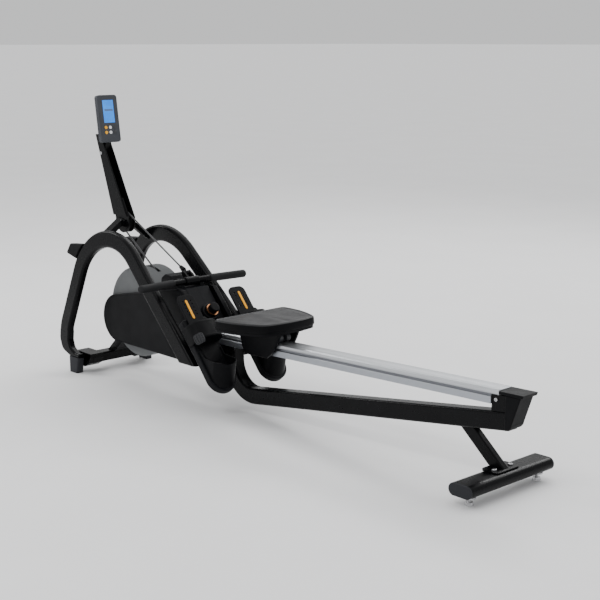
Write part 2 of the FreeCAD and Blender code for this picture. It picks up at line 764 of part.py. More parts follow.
def lower_run():
    """Tangent points of the cord between the mast pulley's underside and the spool's top."""
    dx = SPOOL_X - PULLEY_X
    dz = SPOOL_Z - PULLEY_Z
    span = math.hypot(dx, dz)
    angle = math.atan2(dz, dx) + math.asin((PULLEY_CORD_R + SPOOL_CORD_R) / span)
    normal = Vector(-math.sin(angle), 0, math.cos(angle))
    start = Vector(PULLEY_X, 0, PULLEY_Z) - normal * PULLEY_CORD_R
    end = Vector(SPOOL_X, 0, SPOOL_Z) + normal * SPOOL_CORD_R
    return start, end, angle


def make_cords():
    """The cord's run to the handle, and its wrap over the pulley and down to the spool."""
    along, start = cord_line()
    pin = cord_pin()
    length = (pin - start).dot(along) - 12.0
    save("cord_run", [Part.makeCylinder(CORD_R, length, start, along)])
    low_start, low_end, angle = lower_run()
    run = low_end - low_start
    straight = Part.makeCylinder(CORD_R, run.Length, low_start, run)
    first = math.degrees(math.atan2(start.z - PULLEY_Z, start.x - PULLEY_X))
    last = math.degrees(math.atan2(low_start.z - PULLEY_Z, low_start.x - PULLEY_X)) % 360
    circle = Part.Wire(Part.makeCircle(CORD_R, start, along))
    wrap = Part.Face(circle).revolve(Vector(PULLEY_X, 0, PULLEY_Z), Vector(0, -1, 0), last - first)
    print("drive cord", round(run.Length + math.radians(last - first) * PULLEY_CORD_R, 1), "mm")
    print("cord run", round(length, 1), "mm, lower run angle", round(math.degrees(angle), 2))
    save("drive_cord", [wrap.fuse(straight)])


def cord_pin():
    """Centre of the pin that joins the cord to the handle, on the cord's line."""
    along, start = cord_line()
    return start + along * ((CORD_PIN_X - start.x) / along.x)


# ---------------------------------------------------------------- handle
def handle_path():
    """Centreline of the bar: straight middle, a soft bend, and two arms swept rearward."""
    arm = Vector(HANDLE_TIP_X - HANDLE_X, HANDLE_HALF - HANDLE_MIDDLE, 0).normalize()
    reach = 25.0
    left = []
    for y in (HANDLE_HALF - 6, HANDLE_MIDDLE + reach):
        left.append(Vector(HANDLE_X, -HANDLE_MIDDLE, HANDLE_Z) + Vector(arm.x, -arm.y, 0) * (y - HANDLE_MIDDLE))
    left.append(Vector(HANDLE_X, reach - HANDLE_MIDDLE, HANDLE_Z))
    right = [Vector(p.x, -p.y, p.z) for p in reversed(left)]
    sag = arm.x * reach / 4
    left_middle = Vector(HANDLE_X + sag, -HANDLE_MIDDLE, HANDLE_Z)
    right_middle = Vector(HANDLE_X + sag, HANDLE_MIDDLE, HANDLE_Z)
    edges = [
        Part.LineSegment(left[0], left[1]).toShape(),
        Part.Arc(left[1], left_middle, left[2]).toShape(),
        Part.LineSegment(left[2], right[0]).toShape(),
        Part.Arc(right[0], right_middle, right[1]).toShape(),
        Part.LineSegment(right[1], right[2]).toShape(),
    ]
    return Part.Wire(edges), arm


def make_handle():
    path, arm = handle_path()
    start = path.Edges[0].Vertexes[0].Point
    circle = Part.Wire(Part.makeCircle(BAR_R, start, Vector(-arm.x, arm.y, 0)))
    bar = path.makePipeShell([circle], True, False)
    save("handle_bar", [bar])
    for name, sign in SIDES:
        along = Vector(arm.x, sign * arm.y, 0)
        inner = Vector(HANDLE_X, sign * HANDLE_MIDDLE, HANDLE_Z) + along * 26
        length = HANDLE_HALF - HANDLE_MIDDLE - 26
        grip = Part.makeCylinder(GRIP_R, length, inner, along)
        grip = rounded(grip, 9.0, lambda e: abs(e.BoundBox.Center.y) > HANDLE_HALF - 20)
        grip = rounded(grip, 2.0, lambda e: e.Curve.TypeId == "Part::GeomCircle" and abs(e.BoundBox.Center.y) < 100)
        core = Part.makeCylinder(BAR_R, length - 6, inner, along)
        save("handle_grip_" + name, [grip.cut(core)])


def make_handle_bracket():
    """Clamp round the handle's middle with two lugs for the cord's pin."""
    pin = cord_pin()
    clamp = rod((HANDLE_X, 0, HANDLE_Z), (0, 1, 0), 60, 16.5)
    clamp = rounded(clamp, 3.0, lambda e: e.Curve.TypeId == "Part::GeomCircle")
    toward = Vector(pin.x - HANDLE_X, 0, pin.z - HANDLE_Z)
    side = Vector(-toward.z, 0, toward.x).normalize()
    for sign in (-1, 1):
        y0, y1 = sorted((sign * 10.5, sign * 16.5))
        centre = Vector(HANDLE_X, 0, HANDLE_Z)
        near = [centre + side * 13, centre - side * 13]
        far = [pin - side * 8.5, pin + toward.normalize() * 8.5, pin + side * 8.5]
        toward = Vector(pin.x - HANDLE_X, 0, pin.z - HANDLE_Z)
        lug = prism([
            (near[0].x, near[0].z), (near[1].x, near[1].z),
            (far[0].x, far[0].z), (far[1].x, far[1].z, "arc"), (far[2].x, far[2].z),
        ], y0, y1)
        clamp = clamp.fuse(lug)
    bracket = clamp.fuse(rod((pin.x, 0, pin.z), (0, 1, 0), 33, 3.5))
    save("handle_bracket", [bracket.cut(rod((HANDLE_X, 0, HANDLE_Z), (0, 1, 0), 100, BAR_R))])


def make_cord_stop():
    """Rubber cone on the cord and the eye that turns on the handle's pin."""
    along, _ = cord_line()
    pin = cord_pin()
    back = along * -1
    eye = rod((pin.x, 0, pin.z), (0, 1, 0), 19, 8.0)
    stem = Part.makeCylinder(6.0, 16, pin, back)
    cone = Part.makeCone(10.5, 6.0, 26, pin + back * 15, back)
    cone = rounded(cone, 2.0, lambda e: e.Curve.TypeId == "Part::GeomCircle")
    stop = eye.fuse(stem).fuse(cone)
    stop = stop.cut(Part.makeCylinder(CORD_R + 0.1, 60, pin + back * 11.9, back))
    save("cord_stop", [stop.cut(rod((pin.x, 0, pin.z), (0, 1, 0), 60, 3.5 + RUN_GAP))])


# ---------------------------------------------------------------- mast
def make_mast_yoke():
    """Cheeks each side of the pulley and the two struts down to the arches."""
    body = None
    for _, sign in SIDES:
        y0, y1 = sorted((sign * 10.0, sign * CHEEK_HALF))
        cheek = prism([
            (78, 690), (66, 640), (78, 590), (116, 556, "arc"), (160, 586),
            (160, 618), (120, 690),
        ], y0, y1)
        y2, y3 = sorted((sign * 10.0, sign * 22.0))
        boss = prism([(84, 612), (84, 588), (140, 580), (140, 606)], y2, y3)
        top = [Vector(92, sign * 20, 612), Vector(126, sign * 20, 609),
               Vector(126, sign * 20, 584), Vector(92, sign * 20, 588)]
        low = [Vector(80, sign * 125, 530), Vector(112, sign * 125, 528),
               Vector(112, sign * 125, 503), Vector(80, sign * 125, 506)]
        wires = [Part.makePolygon(p + [p[0]]) for p in (top, low)]
        strut = Part.makeLoft(wires, True, True)
        piece = cheek.fuse(boss).fuse(strut)
        body = piece if body is None else body.fuse(piece)
    bridge = box(68, 76, -CHEEK_HALF, CHEEK_HALF, 630, 672)
    body = body.fuse(bridge)
    pulley_space = rod((PULLEY_X, 0, PULLEY_Z), (0, 1, 0), 19.9, PULLEY_FLANGE_R + 3)
    body = body.cut(pulley_space)
    body = body.cut(rod((PULLEY_X, 0, PULLEY_Z), (0, 1, 0), 52, 5.0))
    save("mast_yoke", [inside_arches(body)])


def make_mast_pulley():
    wheel = rod((PULLEY_X, 0, PULLEY_Z), (0, 1, 0), 2 * PULLEY_HALF, PULLEY_FLANGE_R)
    groove = Part.makeTorus(PULLEY_CORD_R + 3.6, 7.2, Vector(PULLEY_X, 0, PULLEY_Z), Vector(0, 1, 0))
    wheel = wheel.cut(groove)
    save("mast_pulley", [wheel.cut(rod((PULLEY_X, 0, PULLEY_Z), (0, 1, 0), 40, 5.0 + RUN_GAP))])


def make_mast():
    """Tapered channel, open to the rear, leaning forward."""
    channel = prism([(60, 621), (153, 621), (-8, 926), (-46, 926)], -MAST_HALF, MAST_HALF)
    channel = rounded(channel, 4.0, lambda e: at_y([-MAST_HALF, MAST_HALF])(e) and e.BoundBox.ZLength > 200)
    inside = MAST_HALF - MAST_SIDE
    pocket = prism([(68.1, 610), (170, 610), (6, 926), (-14, 960), (-53.5, 960)], -inside, inside)
    channel = channel.cut(pocket)
    save("mast", [channel.cut(rod((NECK_PIVOT_X, 0, NECK_PIVOT_Z), (0, 1, 0), 60, 4.0))])


# ---------------------------------------------------------------- console
def make_console_neck():
    """Bent steel tongue from the pivot in the mast to the console's back."""
    x, z = NECK_PIVOT_X, NECK_PIVOT_Z
    neck = prism([
        (x - 8.5, z), (x, z - 8.5, "arc"), (x + 8.5, z), (16, 896), (18, 960), (-8, 960), (-20, 905),
    ], -12, 12)
    room = Part.makeBox(80, 200, 300, Vector(-CONSOLE_DEPTH, -100, -20))
    neck = neck.cut(on_console(room))
    save("console_neck", [neck.cut(rod((NECK_PIVOT_X, 0, NECK_PIVOT_Z), (0, 1, 0), 60, 4.0 + RUN_GAP))])


def make_console():
    """Front and back case, window and the four keys under it."""
    half = CONSOLE_WIDTH / 2
    split = -11.0
    case = box(-CONSOLE_DEPTH, 0, -half, half, 0, CONSOLE_HEIGHT)
    case = rounded(case, 11.0, lambda e: e.BoundBox.XLength > 20)
    case = rounded(case, 3.5, lambda e: e.BoundBox.XLength < 0.01 or abs(e.BoundBox.XMin - e.BoundBox.XMax) < 0.01)
    front = case.common(box(split, 10, -80, 80, -10, 250))
    back = case.common(box(-60, split, -80, 80, -10, 250))
    back = back.cut(box(-CONSOLE_DEPTH + 3, split + 1, -half + 3, half - 3, 3, CONSOLE_HEIGHT - 3))
    front = front.cut(box(split - 1, -3, -half + 3, half - 3, 3, CONSOLE_HEIGHT - 3))
    window = box(-1.6, 1, -24.5, 24.5, 75, 162)
    front = front.cut(window)
    keys = {}
    for row, z in (("upper", 57.0), ("lower", 38.0)):
        for column, y in (("yellow", -20.0), ("white", 0.0), ("grey", 20.0)):
            front = front.cut(rod((-2, y, z), (1, 0, 0), 8, BUTTON_R + 0.25))
            key = Part.makeCylinder(BUTTON_R, 5.0, Vector(-3.4, y, z), Vector(1, 0, 0))
            key = rounded(key, 0.8, lambda e: e.BoundBox.XMin > 1)
            flange = Part.makeCylinder(BUTTON_R + 1.4, 2.0, Vector(-5.3, y, z), Vector(1, 0, 0))
            keys["key_" + column + "_" + row] = key.fuse(flange)
    screen = box(-1.6, -0.4, -24.5, 24.5, 75, 162)
    save("console_front", [on_console(front)])
    save("console_back", [on_console(back)])
    save("console_screen", [on_console(screen)])
    for name, key in keys.items():
        save(name, [on_console(key)])


# ---------------------------------------------------------------- rail and rear stand
def rail_section():
    """Half outlines mirrored into the rail's closed profile, in Y and Z."""
    half = RAIL_HALF
    right = [
        (24, -1.0), (26, 0), (half - 4, 0), (half, -4), (half, -12), (half - 2, -15), (half - 6, -17),
        (half - 6, -23), (half - 3, -26), (half - 3, -RAIL_HEIGHT),
    ]
    points = right + [(-y, z) for y, z in reversed(right)]
    vectors = [Vector(0, y, z) for y, z in points]
    return Part.Face(Part.makePolygon(vectors + [vectors[0]]))


def make_rail():
    length = (RAIL_REAR_X - RAIL_FRONT_X) / math.cos(math.radians(RAIL_SLOPE_DEG))
    rail = rail_section().extrude(Vector(length, 0, 0))
    rail = rail.cut(box(-1, length + 1, -24, 24, -RAIL_HEIGHT + 4, -19))
    rail = rail.cut(box(-1, length + 1, -22, 22, -15, -4))
    notch = (RAIL_NOTCH_X - RAIL_FRONT_X) / math.cos(math.radians(RAIL_SLOPE_DEG))
    rail = rail.cut(box(notch, length + 1, -50, 50, -60, -17))
    edges = []
    for e in rail.Edges:
        y = abs(e.CenterOfMass.y)
        if e.Length > 1000 and abs(y - RAIL_HALF) < 0.6 and e.CenterOfMass.z > -13:
            edges.append(e)
    rail = rail.makeFillet(1.6, edges)
    save("rail", [on_rail(rail, RAIL_FRONT_X)])


def beam_top(x):
    rise = BEAM_DEPTH / 2 / math.cos(math.radians(BEAM_SLOPE_DEG))
    return BEAM_MID_Z + (x - BEAM_MID_X) * math.tan(math.radians(BEAM_SLOPE_DEG)) + rise


def rail_bolt_centre(sign):
    return (1970.0, sign * 25.0, rail_top(1970.0) - 32)


def make_rail_end_bracket():
    """Block under the rail's end that bolts it down to the beam."""
    x0 = RAIL_NOTCH_X + 2
    x1 = 2004.0
    block = prism([
        (x0, beam_top(x0)), (x1, beam_top(x1)), (x1, rail_top(x1)), (x0, rail_top(x0)),
    ], -25, 25)
    above = Part.makeBox(400, 200, 200, Vector(-200, -100, -17))
    block = block.cut(on_rail(above, x0))
    save("rail_end_bracket", [block.cut(rod(rail_bolt_centre(0), (0, 1, 0), 100, 3.0))])


def make_end_cap():
    """Plastic cap over the ends of rail and beam, with an overhanging lid."""
    body = prism([
        (2005, 300), (2060, 302), (2030, 216), (2023, 202, "arc"), (2009, 195), (2005, 195),
    ], -31, 31)
    body = rounded(body, 3.0, at_y([-31, 31]))
    depth = BEAM_DEPTH / math.cos(math.radians(BEAM_SLOPE_DEG))
    end = BEAM_END_X + BEAM_DEPTH * math.sin(math.radians(BEAM_SLOPE_DEG))
    beam = prism([
        (1980, beam_top(1980)), (end, beam_top(end)), (end, beam_top(end) - depth),
        (1980, beam_top(1980) - depth),
    ], -BEAM_WIDTH / 2, BEAM_WIDTH / 2)
    body = body.cut(beam)
    lid = prism([(1984, 300), (2068, 302), (2072, 312), (1984, 309)], -35, 35)
    lid = rounded(lid, 2.5, at_y([-35, 35]))
    cap = body.fuse(lid)
    cap = cap.cut(box(2000, 2005, -25.2, 25.2, 230, 300))
    save("end_cap", [cap])


def make_rear_leg():
    """Sloping leg from the beam's underside to a plate on the stabiliser."""
    x, z = REAR_LEG_TOP
    slope = math.radians(REAR_LEG_SLOPE_DEG)
    low_z = STAB_Z + STAB_HEIGHT / 2 + 5
    half_cut = 39.0 / 2 / math.sin(slope)
    run = (z - low_z) / math.tan(slope)
    top_l = (x - half_cut, z)
    top_r = (x + half_cut, z)
    outer = prism([top_l, (x - half_cut + run, low_z), (x + half_cut + run, low_z), top_r], -12, 12)
    cap_l = x - half_cut - 30 / math.tan(slope)
    cap_r = x + half_cut - 30 / math.tan(slope)
    outer = outer.fuse(prism([top_l, top_r, (cap_r, z + 30), (cap_l, z + 30)], -12, 12))
    outer = outer.removeSplitter()
    outer = rounded(outer, 4.0, lambda e: at_y([-12, 12])(e) and e.BoundBox.ZLength > 60)
    depth = BEAM_DEPTH / math.cos(math.radians(BEAM_SLOPE_DEG))
    above = prism([
        (1700, beam_top(1700) - depth), (2000, beam_top(2000) - depth), (2000, 400), (1700, 400),
    ], -30, 30)
    leg = outer.cut(above)
    plate = box(x + run - 24, x + run + 38, -54, 54, low_z - 5, low_z)
    plate = rounded(plate, 14.0, lambda e: e.BoundBox.ZLength > 4)
    for _, sign in SIDES:
        plate = plate.cut(rod((x + run + 14, sign * 37, low_z), (0, 0, 1), 30, 3.75))
    save("rear_leg", [leg.fuse(plate)])
    return x + run


def make_stabiliser(plate_x):
    outer = Part.Face(oval(STAB_WIDTH, STAB_HEIGHT)).extrude(Vector(0, 2 * STAB_HALF, 0))
    inner = Part.Face(oval(STAB_WIDTH - 5, STAB_HEIGHT - 5)).extrude(Vector(0, 2 * STAB_HALF + 2, 0))
    outer.translate(Vector(STAB_X, -STAB_HALF, STAB_Z))
    inner.translate(Vector(STAB_X, -STAB_HALF - 1, STAB_Z))
    tube = outer.cut(inner)
    for _, sign in SIDES:
        tube = tube.cut(rod((LEVELLER_X, sign * LEVELLER_Y, 30), (0, 0, 1), 20, 5.0))
        tube = tube.cut(rod((plate_x + 14, sign * 37, STAB_Z + STAB_HEIGHT / 2), (0, 0, 1), 20, 3.75))
    save("stabiliser_tube", [tube])
    caps = []
    for _, sign in SIDES:
        cap = Part.Face(oval(STAB_WIDTH, STAB_HEIGHT)).extrude(Vector(0, 7, 0))
        cap = rounded(cap, 2.5, at_y([7]))
        plug = Part.Face(oval(STAB_WIDTH - 5.2, STAB_HEIGHT - 5.2)).extrude(Vector(0, 15, 0))
        plug.translate(Vector(0, -15, 0))
        cap = cap.fuse(plug)
        if sign < 0:
            cap = cap.mirror(Vector(0, 0, 0), Vector(0, 1, 0))
        cap.translate(Vector(STAB_X, sign * STAB_HALF, STAB_Z))
        caps.append(cap)
    save("stabiliser_caps", caps)
    levellers = []
    for _, sign in SIDES:
        y = sign * LEVELLER_Y
        pad = Part.makeCone(13, 11, 9, Vector(LEVELLER_X, y, 0), Vector(0, 0, 1))
        disc = Part.makeCylinder(19, 6, Vector(LEVELLER_X, y, 20), Vector(0, 0, 1))
        disc = rounded(disc, 2.0, lambda e: e.Curve.TypeId == "Part::GeomCircle")
        stem = Part.makeCylinder(5.0, 36, Vector(LEVELLER_X, y, 5), Vector(0, 0, 1))
        levellers.append(pad.fuse(stem).fuse(disc))
    save("levellers", levellers)


def bolt(centre, axis, head_r, head_h, length):
    """A button-head bolt; centre is under the head, axis points out of it."""
    direction = Vector(*axis).normalize()
    start = Vector(*centre)
    head = Part.makeCylinder(head_r, head_h, start, direction)
    head = rounded(head, head_h * 0.45, lambda e: (e.CenterOfMass - start).dot(direction) > head_h * 0.9)
    socket = Part.makeCylinder(head_r * 0.42, head_h * 0.5, start + direction * (head_h * 0.6), direction)
    shank = Part.makeCylinder(head_r * 0.5, length, start - direction * length, direction)
    return head.cut(socket).fuse(shank)


def make_fasteners(plate_x):
    """Stabiliser bolts, rail end bolts, and the headed pins of the mast pulley and the console."""
    top = STAB_Z + STAB_HEIGHT / 2 + 5
    solids = []
    for _, sign in SIDES:
        solids.append(bolt((plate_x + 14, sign * 37, top), (0, 0, 1), 7.5, 5.0, 14))
        solids.append(bolt(rail_bolt_centre(sign), (0, sign, 0), 6.0, 4.0, 16))
    solids.append(rod((PULLEY_X, 0, PULLEY_Z), (0, 1, 0), 52, 5.0))
    pin = rod((NECK_PIVOT_X, 0, NECK_PIVOT_Z), (0, 1, 0), 2 * MAST_HALF, 4.0)
    for sign in (-1, 1):
        cap = Part.makeCylinder(6.0, 4.0, Vector(NECK_PIVOT_X, sign * MAST_HALF, NECK_PIVOT_Z), Vector(0, sign, 0))
        pin = pin.fuse(rounded(cap, 1.5, at_y([sign * (MAST_HALF + 4)])))
    solids.append(pin)
    save("fasteners", solids)


# ---------------------------------------------------------------- seat
def seat_outline(shrink):
    """Plan of the seat: straight front, sides that draw in, and a round rear."""
    swing = 90.0 - math.degrees(SEAT_TAPER)
    front_x = SEAT_FRONT_R - SEAT_HALF_LENGTH
    front_y = SEAT_HALF_WIDTH - SEAT_FRONT_R
    side_y = SEAT_HALF_WIDTH - SEAT_SIDE_R
    reach = SEAT_SIDE_R - SEAT_REAR_R
    rear_x = front_x + reach * math.sin(SEAT_TAPER)
    rear_y = side_y + reach * math.cos(SEAT_TAPER)
    last = math.radians(SEAT_BACK_DEG)
    back_r = SEAT_REAR_R + rear_y / math.sin(last)
    back_x = rear_x - (back_r - SEAT_REAR_R) * math.cos(last)
    chain = [
        (front_x, front_y, SEAT_FRONT_R, 180.0, 90.0),
        (front_x, side_y, SEAT_SIDE_R, 90.0, swing),
        (rear_x, rear_y, SEAT_REAR_R, swing, SEAT_BACK_DEG),
    ]
    edges = []
    for cx, cy, radius, start, end in chain:
        arc = [Vector(p.x, p.z, 0) for p in arc_points(cx, cy, radius - shrink, start, end)]
        edges.append(Part.Arc(*arc).toShape())
    back = [Vector(p.x, p.z, 0) for p in arc_points(back_x, 0, back_r - shrink, SEAT_BACK_DEG, -SEAT_BACK_DEG)]
    edges.append(Part.Arc(*back).toShape())
    for cx, cy, radius, start, end in reversed(chain):
        arc = [Vector(p.x, p.z, 0) for p in arc_points(cx, -cy, radius - shrink, -end, -start)]
        edges.append(Part.Arc(*arc).toShape())
    a = SEAT_HALF_LENGTH - shrink
    edges.append(Part.LineSegment(Vector(-a, -front_y, 0), Vector(-a, front_y, 0)).toShape())
    return Part.Face(Part.Wire(edges))


def make_seat():
    """Pad, moulded base and the carriage with its rollers."""
    pad = seat_outline(0).extrude(Vector(0, 0, SEAT_TOP - SEAT_PAD_LOW))
    pad.translate(Vector(0, 0, SEAT_PAD_LOW))
    save("seat_pad", [on_rail(pad, SEAT_X)])
    base = seat_outline(5).extrude(Vector(0, 0, SEAT_PAD_LOW - SEAT_LOW))
    base.translate(Vector(0, 0, SEAT_LOW))
    save("seat_base", [on_rail(base, SEAT_X)])


def make_carriage():
    """Box over the rail, with skirts that wrap its sides and the roller axles."""
    a = CARRIAGE_FRONT
    b = CARRIAGE_REAR
    top = SEAT_LOW
    low = -RAIL_HEIGHT - 8
    plate = box(a, b, -SKIRT_OUT - 12, SKIRT_OUT + 12, top - 5, top)
    body = plate
    for sign in (-1, 1):
        y0, y1 = sorted((sign * SKIRT_IN, sign * SKIRT_OUT))
        skirt = prism([
            (a, top - 4), (a, 20), (a + 16, -40), (a + 26, low), (26, low), (62, -28), (b - 10, 16),
            (b, top - 4),
        ], y0, y1)
        skirt = rounded(skirt, 5.0, at_y([sign * SKIRT_OUT]))
        y2, y3 = sorted((sign * 20.0, sign * (SKIRT_IN + 1)))
        lip = box(a + 30, 24, y2, y3, low, -RAIL_HEIGHT - 0.6)
        body = body.fuse(skirt).fuse(lip)
    for sign in (-1, 1):
        axle = rod((sign * ROLLER_SPAN, 0, ROLLER_R + 0.3), (0, 1, 0), 2 * SKIRT_IN + 4, AXLE_R)
        body = body.fuse(axle)
    save("seat_carriage", [on_rail(body, SEAT_X)])
    for name, sign in (("front", -1), ("rear", 1)):
        rollers = []
        for side in (-1, 1):
            centre = (sign * ROLLER_SPAN, side * ROLLER_Y, ROLLER_R + 0.3)
            roller = ring(centre, (0, 1, 0), ROLLER_WIDTH, ROLLER_R, AXLE_R + RUN_GAP)
            rollers.append(on_rail(roller, SEAT_X))
        save("seat_rollers_" + name, rollers)


# ---------------------------------------------------------------- foot rests
def board_plan(u0, u1, half, top_corner):
    """Plan of a foot board in u and v: square-ish top, round heel."""
    c = top_corner
    k = 1 - math.sqrt(0.5)
    heel = u1 - half * 0.9
    edges = [
        Part.Arc(Vector(u0 + c, half, 0), Vector(u0 + c * k, half - c * k, 0),
                 Vector(u0, half - c, 0)).toShape(),
        Part.LineSegment(Vector(u0, half - c, 0), Vector(u0, c - half, 0)).toShape(),
        Part.Arc(Vector(u0, c - half, 0), Vector(u0 + c * k, c * k - half, 0),
                 Vector(u0 + c, -half, 0)).toShape(),
        Part.LineSegment(Vector(u0 + c, -half, 0), Vector(heel, -half, 0)).toShape(),
        Part.Arc(Vector(heel, -half, 0), Vector(u1, 0, 0), Vector(heel, half, 0)).toShape(),
        Part.LineSegment(Vector(heel, half, 0), Vector(u0 + c, half, 0)).toShape(),
    ]
    return Part.Face(Part.Wire(edges))


def flat_at(z):
    def test(edge):
        bounds = edge.BoundBox
        return bounds.ZLength < 0.01 and abs(bounds.ZMin - z) < 0.01
    return test


def foot_board():
    """Moulded slab that the slider lies on."""
    slab = board_plan(BOARD_START, BOARD_END, BOARD_HALF, 14).extrude(Vector(0, 0, BOARD_THICK))
    slab.translate(Vector(0, 0, -BOARD_THICK))
    slab = rounded(slab, 4.0, flat_at(0))
    slab = rounded(slab, 10.0, flat_at(-BOARD_THICK))
    return slab


def foot_slider():
    """Toe tongue with two rows of size holes, and the heel cup at its foot."""
    w0 = 0.1
    tongue = board_plan(TONGUE_START, 262, TONGUE_HALF, 22).extrude(Vector(0, 0, SLIDER_THICK))
    tongue.translate(Vector(0, 0, w0))
    for i in range(5):
        for v in (-17.0, 17.0):
            hole = Part.makeCylinder(3.2, 30, Vector(10 + i * 14.0, v, -10), Vector(0, 0, 1))
            tongue = tongue.cut(hole)
    tongue = rounded(tongue, 1.5, lambda e: flat_at(w0 + SLIDER_THICK)(e) and e.Length > 21)
    slant = Vector(-60, 0, 70)
    outer = board_plan(214, BOARD_END - 9, BOARD_HALF - 8, 4)
    outer.translate(Vector(0, 0, w0))
    inner = board_plan(160, BOARD_END - 14, BOARD_HALF - 13, 4)
    inner.translate(Vector(0, 0, w0 + 4))
    cup = outer.extrude(slant).cut(inner.extrude(slant * 1.1))
    rim = prism([(100, 8), (238, 8), (262, 30), (296, 66), (420, 74), (420, 120), (100, 120)], -80, 80)
    cup = cup.cut(rim)
    return tongue.fuse(cup)


def foot_strap():
    """Wide strap that bridges the foot, clamped to both edges of the board, and its buckle."""
    def arch(half, top, low):
        return [
            (-half, low), (-half, 6), (-half * 0.93, top * 0.58, "arc"), (-half * 0.46, top * 0.955),
            (0, top, "arc"), (half * 0.46, top * 0.955),
            (half * 0.93, top * 0.58, "arc"), (half, 6), (half, low),
        ]
    width = STRAP_END - STRAP_START
    outer = prism(arch(BOARD_HALF + 4, 52, -20), 0, width)
    band = outer.cut(prism(arch(BOARD_HALF, 48.5, -21), -1, width + 1))
    band.Placement = Placement(Vector(STRAP_END, 0, 0), Rotation(Vector(0, 0, 1), 90))
    return band


def make_foot_rests():
    board = foot_board()
    slider = foot_slider()
    strap = foot_strap()
    straps = []
    for name, sign in SIDES:
        shift = Placement(Vector(0, sign * FOOT_Y, 0), Rotation())
        placed = []
        for shape in (board, slider, strap):
            piece = shape.copy()
            piece.Placement = shift.multiply(piece.Placement)
            placed.append(on_board(piece))
        save("footboard_" + name, [placed[0]])
        save("foot_slider_" + name, [placed[1]])
        straps.append(placed[2])
    save("foot_straps", straps)


# ---------------------------------------------------------------- build
def main():
    os.makedirs("parts", exist_ok=True)
    make_arches()
    make_front_crossmember()
    make_footrest_frame()
    make_main_beam()
    make_flywheel_plates()
    make_flywheel()
    make_drive_shafts()
    make_bearings()
    make_drive_belt()
    make_drive_pulley()
    make_cord_spool()
    make_magnet_caliper()
    make_drum_shell()
    make_side_covers()
    make_centre_housing()
    make_dial()
    make_cords()
    make_handle()
    make_handle_bracket()
    make_cord_stop()
    make_mast_yoke()
    make_mast_pulley()
    make_mast()
    make_console_neck()
    make_console()
    make_rail()
    make_rail_end_bracket()
    make_end_cap()
    plate_x = make_rear_leg()
    make_stabiliser(plate_x)
    make_fasteners(plate_x)
    make_seat()
    make_carriage()
    make_foot_rests()


main()
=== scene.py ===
import bpy
import bmesh
import json
import math
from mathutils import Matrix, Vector


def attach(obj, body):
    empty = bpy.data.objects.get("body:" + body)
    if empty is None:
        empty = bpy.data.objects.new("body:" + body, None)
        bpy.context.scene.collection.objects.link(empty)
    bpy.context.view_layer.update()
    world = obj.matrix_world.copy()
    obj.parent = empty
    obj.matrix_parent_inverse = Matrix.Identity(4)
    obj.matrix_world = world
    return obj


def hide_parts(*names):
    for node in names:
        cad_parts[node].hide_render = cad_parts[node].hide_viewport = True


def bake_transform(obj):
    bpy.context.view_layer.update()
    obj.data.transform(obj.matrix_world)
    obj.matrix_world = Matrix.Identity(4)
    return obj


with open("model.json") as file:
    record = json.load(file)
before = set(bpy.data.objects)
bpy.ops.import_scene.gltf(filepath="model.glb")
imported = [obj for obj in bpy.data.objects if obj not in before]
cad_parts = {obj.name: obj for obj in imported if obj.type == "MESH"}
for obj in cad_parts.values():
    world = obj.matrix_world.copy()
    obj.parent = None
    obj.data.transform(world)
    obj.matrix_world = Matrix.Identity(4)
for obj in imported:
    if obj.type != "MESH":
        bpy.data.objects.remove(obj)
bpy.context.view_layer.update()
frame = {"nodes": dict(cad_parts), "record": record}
nodes = frame["nodes"]

# The stations that part.py draws on are counted from the front feet, in millimetres.
SHIFT = 977.05


def at(x, y, z):
    """A point in the row frame, in metres, from stations in millimetres."""
    return Vector(((x - SHIFT) / 1000, y / 1000, z / 1000))


BOARD_TILT = math.radians(49.46)
BOARD_TOP_X, BOARD_TOP_Z = 639.0, 383.0
FOOT_Y = 118.0
RAIL_TILT = math.radians(2.1)
SEAT_X, RAIL_TOP_Z = 967.0, 274.483
# Height of the rail's top face over the floor where the row frame's x is 0, in metres.
RAIL_FACE = (RAIL_TOP_Z + (SHIFT - SEAT_X) * math.tan(RAIL_TILT)) / 1000


def on_board(u, v, w):
    """From the top of a foot board: u down the board, v across, w off its face."""
    c, s = math.cos(BOARD_TILT), math.sin(BOARD_TILT)
    return at(BOARD_TOP_X + u * c + w * s, v, BOARD_TOP_Z - u * s + w * c)


def on_rail(x, y, h):
    """From under the middle of the seat at rest: x along the rail, h above its top."""
    c, s = math.cos(RAIL_TILT), math.sin(RAIL_TILT)
    return at(SEAT_X + x * c - h * s, y, RAIL_TOP_Z + x * s + h * c)


